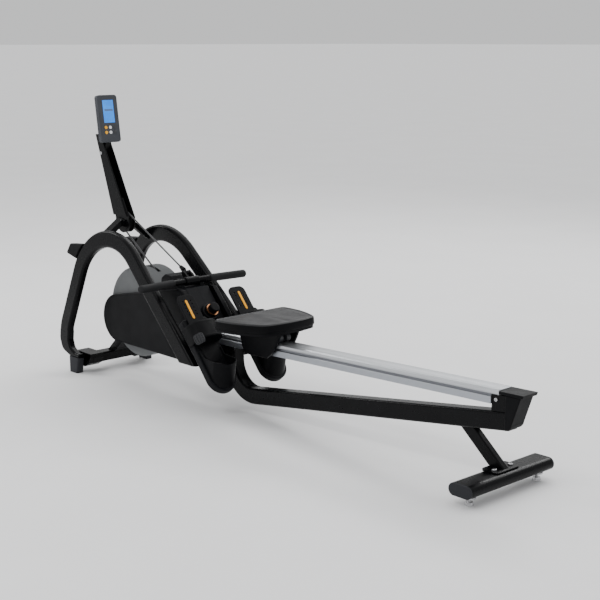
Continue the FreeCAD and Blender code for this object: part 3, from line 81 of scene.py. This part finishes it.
# ------------------------------------------------------------------ material building
class Tree:
    """Small helper round a material's node tree."""

    def __init__(self, name):
        self.mat = bpy.data.materials.new(name)
        self.mat.use_nodes = True
        self.tree = self.mat.node_tree
        self.bsdf = self.tree.nodes["Principled BSDF"]
        self.coord = self.tree.nodes.new("ShaderNodeTexCoord").outputs["Object"]

    def add(self, kind, **values):
        node = self.tree.nodes.new(kind)
        for key, value in values.items():
            if hasattr(node, key):
                setattr(node, key, value)
            else:
                node.inputs[key.replace("_", " ")].default_value = value
        return node

    def link(self, a, b):
        self.tree.links.new(a, b)

    def scaled(self, sx, sy, sz, turn=0.0):
        node = self.add("ShaderNodeMapping")
        node.inputs["Rotation"].default_value = (0.0, turn, 0.0)
        node.inputs["Scale"].default_value = (sx, sy, sz)
        self.link(self.coord, node.inputs["Vector"])
        return node.outputs["Vector"]

    def noise(self, vector, scale, detail=4.0, rough=0.55):
        node = self.add("ShaderNodeTexNoise", Scale=scale, Detail=detail, Roughness=rough)
        self.link(vector, node.inputs["Vector"])
        return node.outputs["Fac"]

    def cells(self, vector, scale):
        node = self.add("ShaderNodeTexVoronoi", Scale=scale)
        self.link(vector, node.inputs["Vector"])
        return node.outputs["Distance"]

    def spread(self, fac, low, high, a, b):
        node = self.add("ShaderNodeMapRange")
        node.inputs["From Min"].default_value = low
        node.inputs["From Max"].default_value = high
        node.inputs["To Min"].default_value = a
        node.inputs["To Max"].default_value = b
        self.link(fac, node.inputs["Value"])
        return node.outputs["Result"]

    def swing(self, fac, a=0.0, b=1.0):
        """Stretch the middle of a noise's range to a..b."""
        return self.spread(fac, 0.3, 0.7, a, b)

    def tint(self, fac, a, b):
        node = self.add("ShaderNodeMix", data_type="RGBA")
        node.inputs["A"].default_value = (*a, 1.0)
        node.inputs["B"].default_value = (*b, 1.0)
        self.link(fac, node.inputs["Factor"])
        return node.outputs["Result"]

    def over(self, fac, base, colour):
        node = self.add("ShaderNodeMix", data_type="RGBA")
        self.link(base, node.inputs["A"])
        node.inputs["B"].default_value = (*colour, 1.0)
        self.link(fac, node.inputs["Factor"])
        return node.outputs["Result"]

    def maths(self, operation, a, b=None):
        node = self.add("ShaderNodeMath", operation=operation)
        for socket, value in zip(node.inputs, (a, b)):
            if value is None:
                continue
            if isinstance(value, (int, float)):
                socket.default_value = value
            else:
                self.link(value, socket)
        return node.outputs["Value"]

    def bump(self, height, strength, distance):
        node = self.add("ShaderNodeBump", Strength=strength, Distance=distance)
        self.link(height, node.inputs["Height"])
        return node.outputs["Normal"]

    def finish(self, colour=None, rough=None, normal=None, **fixed):
        for key, value in fixed.items():
            self.bsdf.inputs[key.replace("_", " ")].default_value = value
        if colour is not None:
            self.link(colour, self.bsdf.inputs["Base Color"])
        if rough is not None:
            self.link(rough, self.bsdf.inputs["Roughness"])
        if normal is not None:
            self.link(normal, self.bsdf.inputs["Normal"])
        return self.mat


# Specular level of grained plastic and rubber.
DULL = 0.07


def powder_coat():
    t = Tree("black_powder_coat")
    c = t.coord
    broad = t.noise(c, 7.0, 3.0)
    peel = t.noise(c, 900.0, 2.0)
    colour = t.tint(t.swing(broad), (0.0018, 0.0019, 0.0023), (0.0032, 0.0034, 0.0040))
    dust = t.spread(t.noise(c, 60.0, 8.0, 0.7), 0.62, 0.8, 0.0, 0.25)
    colour = t.over(dust, colour, (0.010, 0.010, 0.011))
    rough = t.swing(t.noise(c, 24.0, 6.0, 0.65), 0.22, 0.33)
    return t.finish(colour, rough, t.bump(peel, 0.10, 0.0004), Specular_IOR_Level=0.10)


def grained(name, dark, light, rough_low, rough_high, grain, strength):
    """Moulded plastic with a fine spark-eroded grain."""
    t = Tree(name)
    c = t.coord
    broad = t.swing(t.noise(c, 9.0, 4.0))
    fine = t.noise(c, grain, 3.0, 0.6)
    pits = t.cells(c, grain * 0.8)
    height = t.maths("ADD", fine, t.maths("MULTIPLY", pits, 0.7))
    colour = t.tint(broad, dark, light)
    scuff = t.spread(t.noise(t.scaled(1.0, 3.0, 3.0), 55.0, 9.0, 0.75), 0.62, 0.82, 0.0, 0.3)
    colour = t.over(scuff, colour, tuple(v * 1.6 + 0.002 for v in light))
    rough = t.swing(t.noise(c, 30.0, 5.0), rough_low, rough_high)
    return t.finish(colour, rough, t.bump(height, strength, 0.0006), Specular_IOR_Level=DULL)


def rubbery(name, dark, light, rough_low, rough_high, grain, strength):
    """Moulded rubber: dull and slightly blotched."""
    t = Tree(name)
    c = t.coord
    colour = t.tint(t.spread(t.noise(c, 14.0, 6.0, 0.7), 0.3, 0.75, 0.0, 1.0), dark, light)
    fine = t.noise(c, grain, 5.0, 0.7)
    rough = t.swing(t.noise(c, 45.0, 6.0), rough_low, rough_high)
    return t.finish(colour, rough, t.bump(fine, strength, 0.0008), Specular_IOR_Level=DULL)


# Where the seat's rollers run, either side of the rail's middle, and the waist in the rail's sides
# as heights over its top face, in metres.
TRACK_Y, TRACK_HALF = 0.017, 0.006
WAIST_TOP, WAIST_LOW = -0.0160, -0.0265


def rail_metal():
    """Anodised extrusion: lengthwise brushing, worn tracks under the rollers, painted shade in the side
    grooves.
    """
    t = Tree("rail_aluminium")
    streaks = t.noise(t.scaled(1.2, 260.0, 260.0, -RAIL_TILT), 4.0, 8.0, 0.7)
    broad = t.noise(t.scaled(1.0, 8.0, 8.0), 3.0, 3.0)
    colour = t.tint(t.swing(streaks), (0.44, 0.455, 0.475), (0.58, 0.595, 0.615))
    split = t.add("ShaderNodeSeparateXYZ")
    t.link(t.coord, split.inputs["Vector"])
    off = t.maths("ABSOLUTE", t.maths("SUBTRACT", t.maths("ABSOLUTE", split.outputs["Y"]), TRACK_Y))
    worn = t.spread(off, TRACK_HALF, TRACK_HALF + 0.004, 0.35, 0.0)
    colour = t.over(worn, colour, (0.34, 0.35, 0.37))
    lean = t.maths("MULTIPLY", split.outputs["X"], -math.tan(RAIL_TILT))
    height = t.maths("SUBTRACT", t.maths("ADD", split.outputs["Z"], lean), RAIL_FACE)
    # Painted shade: a thin darker line along the lower lip of the waist groove.
    flank = t.spread(height, WAIST_LOW - 0.001, WAIST_LOW + 0.001, 0.70, 0.0)
    colour = t.over(flank, colour, (0.30, 0.32, 0.36))
    # Painted shade: the waist groove between WAIST_TOP and WAIST_LOW is darkened as if shaded in its recess.
    above = t.spread(height, WAIST_TOP, WAIST_TOP - 0.002, 0.0, 1.0)
    below = t.spread(height, WAIST_LOW, WAIST_LOW + 0.002, 0.0, 0.85)
    colour = t.over(t.maths("MULTIPLY", above, below), colour, (0.085, 0.090, 0.105))
    rough = t.maths("ADD", t.swing(streaks, 0.27, 0.40), t.maths("MULTIPLY", broad, 0.06))
    return t.finish(colour, rough, t.bump(streaks, 0.10, 0.0003), Metallic=0.85)


def metal(name, dark, light, rough_low, rough_high, bump, scale=(1, 1, 1)):
    """Bare or plated metal; scale draws its grain out along an axis."""
    t = Tree(name)
    v = t.scaled(*scale)
    fine = t.noise(v, 90.0, 6.0, 0.65)
    colour = t.tint(t.swing(fine), dark, light)
    rough = t.swing(t.noise(t.coord, 40.0, 6.0), rough_low, rough_high)
    return t.finish(colour, rough, t.bump(fine, bump, 0.0003), Metallic=1.0)


def braid():
    """Round braided cord: two crossing helical sets of strands."""
    t = Tree("braided_cord")
    waves = []
    for angle in (0.7, -0.7):
        node = t.add("ShaderNodeTexWave", wave_type="BANDS", bands_direction="DIAGONAL")
        node.inputs["Scale"].default_value = 210.0
        node.inputs["Distortion"].default_value = 1.2
        mapping = t.add("ShaderNodeMapping")
        mapping.inputs["Rotation"].default_value = (angle, 0.6, angle)
        t.link(t.coord, mapping.inputs["Vector"])
        t.link(mapping.outputs["Vector"], node.inputs["Vector"])
        waves.append(node.outputs["Fac"])
    weave = t.maths("MAXIMUM", *waves)
    colour = t.tint(weave, (0.006, 0.006, 0.007), (0.045, 0.045, 0.048))
    rough = t.spread(weave, 0.0, 1.0, 0.85, 0.6)
    return t.finish(colour, rough, t.bump(weave, 0.5, 0.0006), Sheen_Weight=0.2)


def seat_skin():
    """Self-skinned foam: soft satin grain, with painted shade on the sides that turn away from the top, so
    the deck reads paler.
    """
    t = Tree("seat_skin")
    c = t.coord
    pores = t.cells(c, 620.0)
    soft = t.noise(c, 240.0, 5.0, 0.6)
    height = t.maths("ADD", t.maths("MULTIPLY", pores, 0.8), soft)
    broad = t.swing(t.noise(c, 11.0, 5.0, 0.6))
    colour = t.tint(broad, (0.0090, 0.0093, 0.0104), (0.0150, 0.0154, 0.0170))
    facing = t.add("ShaderNodeSeparateXYZ")
    t.link(t.add("ShaderNodeNewGeometry").outputs["Normal"], facing.inputs["Vector"])
    # Painted shade: faces turned away from straight up are darkened, and the specular level drops with them.
    side = t.spread(facing.outputs["Z"], 0.75, 0.25, 0.0, 0.9)
    colour = t.over(side, colour, (0.0022, 0.0023, 0.0028))
    rough = t.swing(t.noise(c, 33.0, 6.0), 0.40, 0.52)
    shine = t.spread(side, 0.0, 0.9, 0.20, 0.06)
    t.link(shine, t.bsdf.inputs["Specular IOR Level"])
    return t.finish(colour, rough, t.bump(height, 0.22, 0.0007))


# The panel's foot and lean, and its three rows of segments: heights, and how many across.
PANEL_X, PANEL_Z, PANEL_LEAN = 40.0, 899.0, math.radians(8.2)
SEGMENT_ROWS = ((0.139, 0.155, 5.0), (0.101, 0.113, 5.0), (0.081, 0.093, 4.0))
SEGMENTS_HALF = 0.020


def display():
    """Lit blue panel with blocks of generic segments and a grey band across it."""
    t = Tree("console_display")
    mapping = t.add("ShaderNodeMapping", vector_type="TEXTURE")
    mapping.inputs["Location"].default_value = at(PANEL_X, 0.0, PANEL_Z)
    mapping.inputs["Rotation"].default_value = (0.0, -PANEL_LEAN, 0.0)
    t.link(t.coord, mapping.inputs["Vector"])
    split = t.add("ShaderNodeSeparateXYZ")
    t.link(mapping.outputs["Vector"], split.inputs["Vector"])
    y, z = split.outputs["Y"], split.outputs["Z"]

    def inside(value, low, high):
        above = t.maths("GREATER_THAN", value, low)
        below = t.maths("LESS_THAN", value, high)
        return t.maths("MULTIPLY", above, below)

    band = t.maths("MULTIPLY", inside(z, 0.1195, 0.1280), inside(y, -0.0185, 0.0205))
    rows = None
    across = inside(y, -SEGMENTS_HALF, SEGMENTS_HALF)
    for z0, z1, count in SEGMENT_ROWS:
        cell = t.maths("FRACT", t.maths("MULTIPLY", y, count / 0.044))
        bars = inside(cell, 0.2, 0.78)
        part = t.maths("FRACT", t.maths("MULTIPLY", z, 3.0 / (z1 - z0)))
        strokes = t.maths("MAXIMUM", inside(part, 0.0, 0.3), t.maths("LESS_THAN", cell, 0.32))
        block = t.maths("MULTIPLY", t.maths("MULTIPLY", inside(z, z0, z1), across), bars)
        block = t.maths("MULTIPLY", block, strokes)
        rows = block if rows is None else t.maths("MAXIMUM", rows, block)
    glow = t.noise(t.coord, 30.0, 2.0)
    colour = t.tint(t.swing(glow), (0.020, 0.21, 0.78), (0.040, 0.27, 0.84))
    colour = t.over(t.maths("MULTIPLY", rows, 0.42), colour, (0.02, 0.12, 0.36))
    colour = t.over(t.maths("MULTIPLY", band, 0.8), colour, (0.085, 0.10, 0.12))
    t.link(colour, t.bsdf.inputs["Emission Color"])
    rough = t.swing(glow, 0.10, 0.16)
    return t.finish(colour, rough, None, Emission_Strength=0.55, Specular_IOR_Level=0.2)


def stripe():
    """Orange moulded scale with fine cross marks."""
    t = Tree("orange_scale")
    c = t.coord
    mark = t.noise(c, 160.0, 4.0)
    colour = t.tint(t.swing(mark), (0.90, 0.37, 0.006), (0.96, 0.44, 0.012))
    rough = t.swing(t.noise(c, 60.0, 4.0), 0.35, 0.5)
    return t.finish(colour, rough, t.bump(mark, 0.1, 0.0004), Specular_IOR_Level=0.2)


def key_plastic(name, dark, light, rough=0.3):
    """Smooth coloured plastic of a key."""
    t = Tree(name)
    fine = t.noise(t.coord, 400.0, 3.0)
    colour = t.tint(t.swing(t.noise(t.coord, 90.0, 3.0)), dark, light)
    rough = t.swing(fine, rough, rough + 0.12)
    return t.finish(colour, rough, t.bump(fine, 0.08, 0.0003))


def floor_paint():
    t = Tree("studio_floor")
    n = t.noise(t.coord, 2.0, 6.0)
    colour = t.tint(t.swing(n), (0.84, 0.84, 0.845), (0.87, 0.87, 0.875))
    rough = t.swing(t.noise(t.coord, 11.0, 6.0), 0.55, 0.65)
    return t.finish(colour, rough)


M = {
    "black_frame": powder_coat(),
    "black_plastic": grained(
        "black_grained_plastic", (0.0030, 0.0031, 0.0038), (0.0050, 0.0052, 0.0061), 0.36, 0.48, 900.0, 0.16),
    "dark_plastic": grained(
        "dark_grained_plastic", (0.0045, 0.0047, 0.0058), (0.0072, 0.0075, 0.0090), 0.36, 0.48, 800.0, 0.18),
    "grey_shell": grained(
        "grey_shell_plastic", (0.118, 0.123, 0.126), (0.150, 0.156, 0.159), 0.42, 0.55, 700.0, 0.14),
    "rubber": rubbery(
        "moulded_rubber", (0.0050, 0.0051, 0.0056), (0.0090, 0.0092, 0.0100), 0.45, 0.62, 500.0, 0.25),
    "grip_rubber": rubbery(
        "grip_rubber", (0.0150, 0.0152, 0.0160), (0.0240, 0.0243, 0.0255), 0.5, 0.66, 700.0, 0.35),
    "seat_skin": seat_skin(),
    "cord": braid(),
    "rail_aluminium": rail_metal(),
    "steel": metal("turned_steel", (0.42, 0.42, 0.43), (0.60, 0.60, 0.61), 0.25, 0.4, 0.1, (1, 6, 1)),
    "cast_flywheel": metal(
        "flywheel_iron", (0.10, 0.10, 0.105), (0.22, 0.22, 0.225), 0.35, 0.5, 0.2, (1, 8, 1)),
    "chrome": metal("bright_zinc", (0.36, 0.36, 0.37), (0.50, 0.50, 0.51), 0.14, 0.28, 0.06),
    "copper": metal("copper_ring", (0.50, 0.22, 0.10), (0.70, 0.34, 0.17), 0.25, 0.4, 0.08),
    "console_grey": grained(
        "console_grey_plastic", (0.048, 0.051, 0.058), (0.066, 0.070, 0.079), 0.42, 0.55, 700.0, 0.14),
    "slate": grained(
        "slate_plastic", (0.020, 0.021, 0.024), (0.032, 0.033, 0.037), 0.42, 0.55, 700.0, 0.16),
    "screen": display(),
    "yellow_key": key_plastic("yellow_key", (0.88, 0.40, 0.004), (0.95, 0.47, 0.008)),
    "white_key": key_plastic("white_key", (0.72, 0.73, 0.74), (0.82, 0.83, 0.84)),
    "grey_key": key_plastic("grey_key", (0.022, 0.024, 0.027), (0.036, 0.038, 0.042), 0.4),
    "orange": stripe(),
    "buckle": grained(
        "buckle_plastic", (0.032, 0.0325, 0.035), (0.048, 0.0485, 0.052), 0.38, 0.5, 700.0, 0.12),
}

# Pieces whose look differs from the rest of their slot.
OWN_FINISH = {
    "stabiliser_caps": "slate", "front_feet": "slate",
    "console_front": "console_grey", "console_back": "console_grey",
}
for row in frame["record"]["subparts"]:
    obj = nodes[row["node"]]
    obj.data.materials.clear()
    obj.data.materials.append(M[OWN_FINISH.get(row["node"], row["material_slot"])])


# ------------------------------------------------------------------ pieces
def new_piece(name, verts, faces, finish, sharp=38.0):
    """A mesh object with outward normals, smooth but for its real edges."""
    mesh = bpy.data.meshes.new(name)
    mesh.from_pydata([tuple(v) for v in verts], [], faces)
    work = bmesh.new()
    work.from_mesh(mesh)
    bmesh.ops.recalc_face_normals(work, faces=work.faces)
    work.to_mesh(mesh)
    work.free()
    mesh.polygons.foreach_set("use_smooth", [True] * len(mesh.polygons))
    mesh.set_sharp_from_angle(angle=math.radians(sharp))
    obj = bpy.data.objects.new(name, mesh)
    bpy.context.collection.objects.link(obj)
    obj.data.materials.append(M[finish])
    return obj


def loft(name, rings, finish, sharp=38.0):
    """A closed skin through rings of points, with a face at each end."""
    count = len(rings[0])
    verts = [p for ring in rings for p in ring]
    faces = []
    for i in range(len(rings) - 1):
        for k in range(count):
            a = i * count + k
            b = i * count + (k + 1) % count
            faces.append((a, b, b + count, a + count))
    last = (len(rings) - 1) * count
    faces.append(tuple(range(count)))
    faces.append(tuple(range(last, last + count)))
    return new_piece(name, verts, faces, finish, sharp)


def placed(obj, body, slot=None, *stands_for):
    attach(obj, body)
    if stands_for:
        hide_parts(*stands_for)
    return obj


# ---- seat pad
# Arcs of the right half of its plan: centre, radius, first and last angle in degrees.
SEAT_CHAIN = (
    (-94.0, 141.0, 24.0, 180.0, 90.0), (-94.0, -255.0, 420.0, 90.0, 64.8),
    (65.7, 84.3, 45.0, 64.8, 12.0), (-331.0, 0.0, 450.5, 12.0, 0.0),
)
SEAT_FRONT, SEAT_REAR = 118.0, 119.5
CHAIN_STEP = 7.5
# Section of the rim from the deck down to the underside: inset and height.
SEAT_RIM = (
    (15.0, 78.2), (11.5, 78.9), (9.6, 80.4), (8.6, 80.9), (7.4, 80.8), (3.0, 77.6), (1.9, 76.6),
    (1.2, 75.2), (0.6, 66.0), (0.3, 57.0), (0.6, 53.0), (2.2, 50.4), (5.0, 49.3), (12.0, 49.2),
)
DECK_RINGS, UNDER_RINGS, FADE_RINGS = 24, 12, 5.0
DECK_LIFT = 0.0035
CLOTH_FRAMES = 20


def seat_outline(inset):
    """Plan of the pad pulled in by inset: straight front, sides that draw in, round rear."""
    half = []
    for cx, cy, radius, start, end in SEAT_CHAIN:
        steps = max(3, round(abs(end - start) * math.pi / 180 * radius / CHAIN_STEP))
        for i in range(steps):
            angle = math.radians(start + (end - start) * i / steps)
            reach = max(radius - inset, 1.0)
            half.append((cx + reach * math.cos(angle), cy + reach * math.sin(angle)))
    tip = (SEAT_REAR - inset, 0.0)
    across = [(inset - SEAT_FRONT, y) for y in range(-133, 134, 7)]
    mirrored = [(x, -y) for x, y in reversed(half)]
    return half + [tip] + mirrored + across


def seat_contour(x, y):
    """How far the deck lies above or below flat: two hollows, a channel and a raised nose."""
    hollow = math.exp(-((x - 22) / 52) ** 2 - ((abs(y) - 66) / 44) ** 2)
    channel = math.exp(-(y / 13) ** 2) / (1 + math.exp(-(x + 5) / 12))
    nose = math.exp(-(y / 34) ** 2 - ((x + 82) / 40) ** 2)
    wings = math.exp(-((abs(y) - 132) / 30) ** 2 - ((x + 40) / 60) ** 2)
    return -6.0 * hollow - 2.6 * channel + 3.2 * nose + 1.5 * wings


def make_seat_pad():
    """Closed pad: the deck's rings, the rim and the flat underside, then the blown deck."""
    deck_inset, deck_height = SEAT_RIM[0]
    under_inset, under_height = SEAT_RIM[-1]
    outer, inner = seat_outline(deck_inset), seat_outline(under_inset)
    rings = []
    for i in range(1, DECK_RINGS):
        rings.append([(x * i / DECK_RINGS, y * i / DECK_RINGS, deck_height) for x, y in outer])
    deck = len(rings)
    for inset, height in SEAT_RIM:
        rings.append([(x, y, height) for x, y in seat_outline(inset)])
    for i in range(UNDER_RINGS - 1, 0, -2):
        rings.append([(x * i / UNDER_RINGS, y * i / UNDER_RINGS, under_height) for x, y in inner])
    count = len(outer)
    flat = [p for ring in rings for p in ring]
    faces = []
    for i in range(len(rings) - 1):
        for k in range(count):
            a, b = i * count + k, i * count + (k + 1) % count
            faces.append((a, b, b + count, a + count))
    top, low = len(flat), len(flat) + 1
    flat += [(0.0, 0.0, deck_height), (0.0, 0.0, under_height)]
    last = (len(rings) - 1) * count
    for k in range(count):
        faces.append((top, k, (k + 1) % count))
        faces.append((low, last + k, last + (k + 1) % count))
    pad = new_piece("seat_cushion", [on_rail(*p) for p in flat], faces, "seat_skin", 180.0)
    free = list(range(deck * count)) + [top]
    crown(pad, free, DECK_LIFT)
    normal = on_rail(0, 0, 1) - on_rail(0, 0, 0)
    for i in free:
        x, y, _ = flat[i]
        fade = 1.0
        if i < deck * count:
            fade = min(1.0, (deck - i // count) / FADE_RINGS)
        pad.data.vertices[i].co += normal * seat_contour(x, y) * fade
    more = pad.modifiers.new("smooth", "SUBSURF")
    more.levels = more.render_levels = 1
    placed(pad, "seat_body", "seat_skin", "seat_pad")


def crown(obj, free, cap):
    """Let foam pressure lift the free vertices a little, holding all the others."""
    pins = obj.vertex_groups.new(name="held")
    loose = set(free)
    pins.add([v.index for v in obj.data.vertices if v.index not in loose], 1.0, "REPLACE")
    rest = [v.co.copy() for v in obj.data.vertices]
    cloth = obj.modifiers.new("cloth", "CLOTH")
    cloth.settings.quality = 4
    cloth.settings.mass = 0.4
    cloth.settings.tension_stiffness = 25.0
    cloth.settings.compression_stiffness = 25.0
    cloth.settings.bending_stiffness = 4.0
    cloth.settings.vertex_group_mass = "held"
    cloth.settings.use_pressure = True
    cloth.settings.uniform_pressure_force = 4.0
    cloth.settings.effector_weights.gravity = 0.0
    cloth.collision_settings.use_collision = False
    cloth.point_cache.frame_end = CLOTH_FRAMES
    scene = bpy.context.scene
    for frame_number in range(1, CLOTH_FRAMES + 1):
        scene.frame_set(frame_number)
    blown = obj.evaluated_get(bpy.context.evaluated_depsgraph_get())
    moved = [v.co.copy() for v in blown.data.vertices]
    obj.modifiers.remove(cloth)
    scene.frame_set(1)
    for vertex, a, b in zip(obj.data.vertices, rest, moved):
        step = b - a
        if step.length > cap:
            step = step.normalized() * cap
        vertex.co = a + step


# ---- foot straps and their buckles
# The strap rises straight from below the board for the first and last LEG of its length, and arches between.
LEG = 0.14
ARCH_HALF, ARCH_LOW, ARCH_FOOT, ARCH_RISE = 59.0, -18.0, 6.0, 44.4
STRAP_STEPS = 56
STRAP_U, STRAP_HALF = 145.0, 36.0
STRAP_THICK, WELT = 3.4, 0.9


def strap_arch(t):
    """(across, up, across normal, up normal) on the middle of the strap, t from 0 to 1."""
    def point(k):
        if k < LEG:
            return (-ARCH_HALF, ARCH_LOW + (ARCH_FOOT - ARCH_LOW) * k / LEG)
        if k > 1 - LEG:
            return (ARCH_HALF, ARCH_LOW + (ARCH_FOOT - ARCH_LOW) * (1 - k) / LEG)
        angle = math.pi * (1 - LEG - k) / (1 - 2 * LEG)
        c, s = math.cos(angle), math.sin(angle)
        return (ARCH_HALF * math.copysign(abs(c) ** 0.72, c), ARCH_FOOT + ARCH_RISE * max(s, 0.0) ** 0.82)
    a, b = point(max(0.0, t - 0.008)), point(min(1.0, t + 0.008))
    along = Vector((b[0] - a[0], b[1] - a[1])).normalized()
    v, w = point(t)
    return v, w, -along.y, along.x


def strap_section(half, thick, welt):
    """Flat band with rounded edges and a raised welt along each."""
    top = []
    for i in range(17):
        p = -half + 2 * half * i / 16
        edge = half - abs(p)
        lift = welt if 2.0 < edge < 7.5 else 0.0
        drop = 1.0 if edge < 0.5 else 0.0
        top.append((p, thick / 2 + lift - drop))
    low = [(p, -thick / 2) for p in (half - 0.6, half * 0.5, 0.0, -half * 0.5, 0.6 - half)]
    return top + low


def make_strap(side, sign):
    """Rubber band over one foot, a little narrower at the top."""
    rings = []
    for i in range(STRAP_STEPS + 1):
        t = i / STRAP_STEPS
        v, w, nv, nw = strap_arch(t)
        lean = math.sin(math.pi * t)
        half = STRAP_HALF - 3.0 * lean
        middle = STRAP_U + 1.5 * lean
        ring = []
        for p, q in strap_section(half, STRAP_THICK, WELT):
            ring.append(on_board(middle + p, sign * FOOT_Y + v + nv * q, w + nw * q))
        rings.append(ring)
    return loft("foot_strap_" + side, rings, "rubber", 50.0)


# The buckle's start and length down the board, its half width, and the pitch and height of its ridges.
BUCKLE_U, BUCKLE_LENGTH, BUCKLE_HALF = 158.0, 38.0, 19.0
RIDGE_PITCH, RIDGE = 9.4, 3.6


def make_buckle(side, sign):
    """Ratchet block with ridges on the outer flank of the strap."""
    v0, w0, nv, nw = strap_arch(0.30 if sign < 0 else 0.70)
    tv, tw = nw, -nv
    rings = []
    for i in range(13):
        s = i / 12
        ease = 1.0 - 0.30 * abs(2 * s - 1) ** 4
        u = BUCKLE_U + BUCKLE_LENGTH * s
        ring = []
        for k in range(65):
            p = -BUCKLE_HALF + 2 * BUCKLE_HALF * k / 64
            wave = min(1.0, max(0.0, 0.5 + 1.1 * math.cos(math.tau * p / RIDGE_PITCH)))
            flat = BUCKLE_HALF - 4.0
            edge = max(0.0, 1.0 - ((abs(p) - flat) / 4.0) ** 2) if abs(p) > flat else 1.0
            height = STRAP_THICK / 2 + (2.6 + RIDGE * wave) * edge * ease
            ring.append((p * ease, height))
        ring += [(BUCKLE_HALF * ease, 1.0), (-BUCKLE_HALF * ease, 1.0)]
        rings.append([
            on_board(u, sign * FOOT_Y + v0 + tv * p + nv * q, w0 + tw * p + nw * q) for p, q in ring
        ])
    return loft("strap_buckle_" + side, rings, "buckle", 40.0)


SCALE_U, SCALE_LENGTH, SCALE_HALF = 6.0, 77.0, 4.6
SCALE_Y, SCALE_FACE = 122.0, 6.1


def make_stripe(side, sign):
    """Orange size scale inlaid in the toe tongue between its rows of holes, with round ends."""
    rings = []
    for i in range(33):
        s = i / 32
        u = SCALE_U + SCALE_LENGTH * s
        end = min(s, 1 - s) * SCALE_LENGTH
        half = SCALE_HALF
        if end < SCALE_HALF:
            half *= math.sqrt(max(0.0, 1 - ((SCALE_HALF - end) / SCALE_HALF) ** 2))
        half = max(half, 0.8)
        notch = 0.25 if i % 4 == 2 else 0.0
        ring = [
            (-half, 0.0), (-half, 0.7), (-half * 0.8, 1.0 - notch), (half * 0.8, 1.0 - notch),
            (half, 0.7), (half, 0.0),
        ]
        rings.append([on_board(u, sign * SCALE_Y + p, SCALE_FACE + q) for p, q in ring])
    return loft("size_scale_" + side, rings, "orange", 30.0)


# ---- the running length of the cord, straight in every pose
CORD_RADIUS, CORD_SIDES = 0.0030, 20
CORD_START = at(136.01, 0, 632.12)
CORD_PIN = at(497.0, 0, 446.361)


def make_cord_run():
    """From the mast pulley to the handle's pin, where its end is hidden in the cord stop."""
    side = Vector((0, 1, 0))
    up = (CORD_PIN - CORD_START).normalized().cross(side).normalized()
    turns = [math.tau * k / CORD_SIDES for k in range(CORD_SIDES)]
    rings = []
    for centre in (CORD_START, CORD_PIN):
        rings.append([centre + (side * math.cos(a) + up * math.sin(a)) * CORD_RADIUS for a in turns])
    cord = loft("cord_length", rings, "cord", 50.0)
    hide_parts("cord_run")
    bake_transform(cord)


make_seat_pad()
# The one node of both straps is replaced once, by the left one.
for side, sign, stands_for in (("left", -1, ("foot_straps",)), ("right", 1, ())):
    placed(make_strap(side, sign), "frame", "rubber", *stands_for)
    placed(make_buckle(side, sign), "frame", "rubber")
    placed(make_stripe(side, sign), "slider_" + side + "_body")
make_cord_run()


# ------------------------------------------------------------------ stage
def floor():
    bpy.ops.mesh.primitive_plane_add(size=600, location=(0, 0, 0))
    plane = bpy.context.object
    plane.name = "floor"
    plane.data.materials.append(floor_paint())


def lamp(name, place, target, size, power):
    """Soft box at place, turned to target."""
    data = bpy.data.lights.new(name, "AREA")
    data.shape = "RECTANGLE"
    data.size, data.size_y = size
    data.energy = power
    obj = bpy.data.objects.new(name, data)
    bpy.context.collection.objects.link(obj)
    obj.location = place
    obj.rotation_euler = (Vector(target) - Vector(place)).to_track_quat("-Z", "Y").to_euler()


def studio():
    floor()
    world = bpy.data.worlds.new("studio")
    bpy.context.scene.world = world
    world.use_nodes = True
    backdrop = world.node_tree.nodes["Background"]
    backdrop.inputs["Color"].default_value = (0.86, 0.865, 0.87, 1)
    backdrop.inputs["Strength"].default_value = 0.88
    lamp("key", (0.6, -3.2, 4.2), (0, 0, 0.2), (2.4, 0.8), 60)
    lamp("fill", (-3.8, -1.4, 2.6), (-0.5, 0, 0.4), (0.8, 1.8), 50)
    lamp("back", (-1.0, 4.2, 3.4), (0, 0, 0.3), (5.0, 0.8), 110)
    sky = bpy.data.lights.new("overhead", "SUN")
    sky.energy = 1.2
    sky.angle = math.radians(70)
    over = bpy.data.objects.new("overhead", sky)
    over.rotation_euler = (math.radians(-22), math.radians(-14), 0)
    bpy.context.collection.objects.link(over)
    data = bpy.data.cameras.new("camera")
    data.lens = 75.548
    data.sensor_width = 36.0
    cam = bpy.data.objects.new("camera", data)
    bpy.context.collection.objects.link(cam)
    cam.location = (4.1384 - SHIFT / 1000, -2.7906, 1.287)
    cam.rotation_euler = (math.radians(78.326), 0, math.radians(47.295))
    bpy.context.scene.camera = cam


studio()
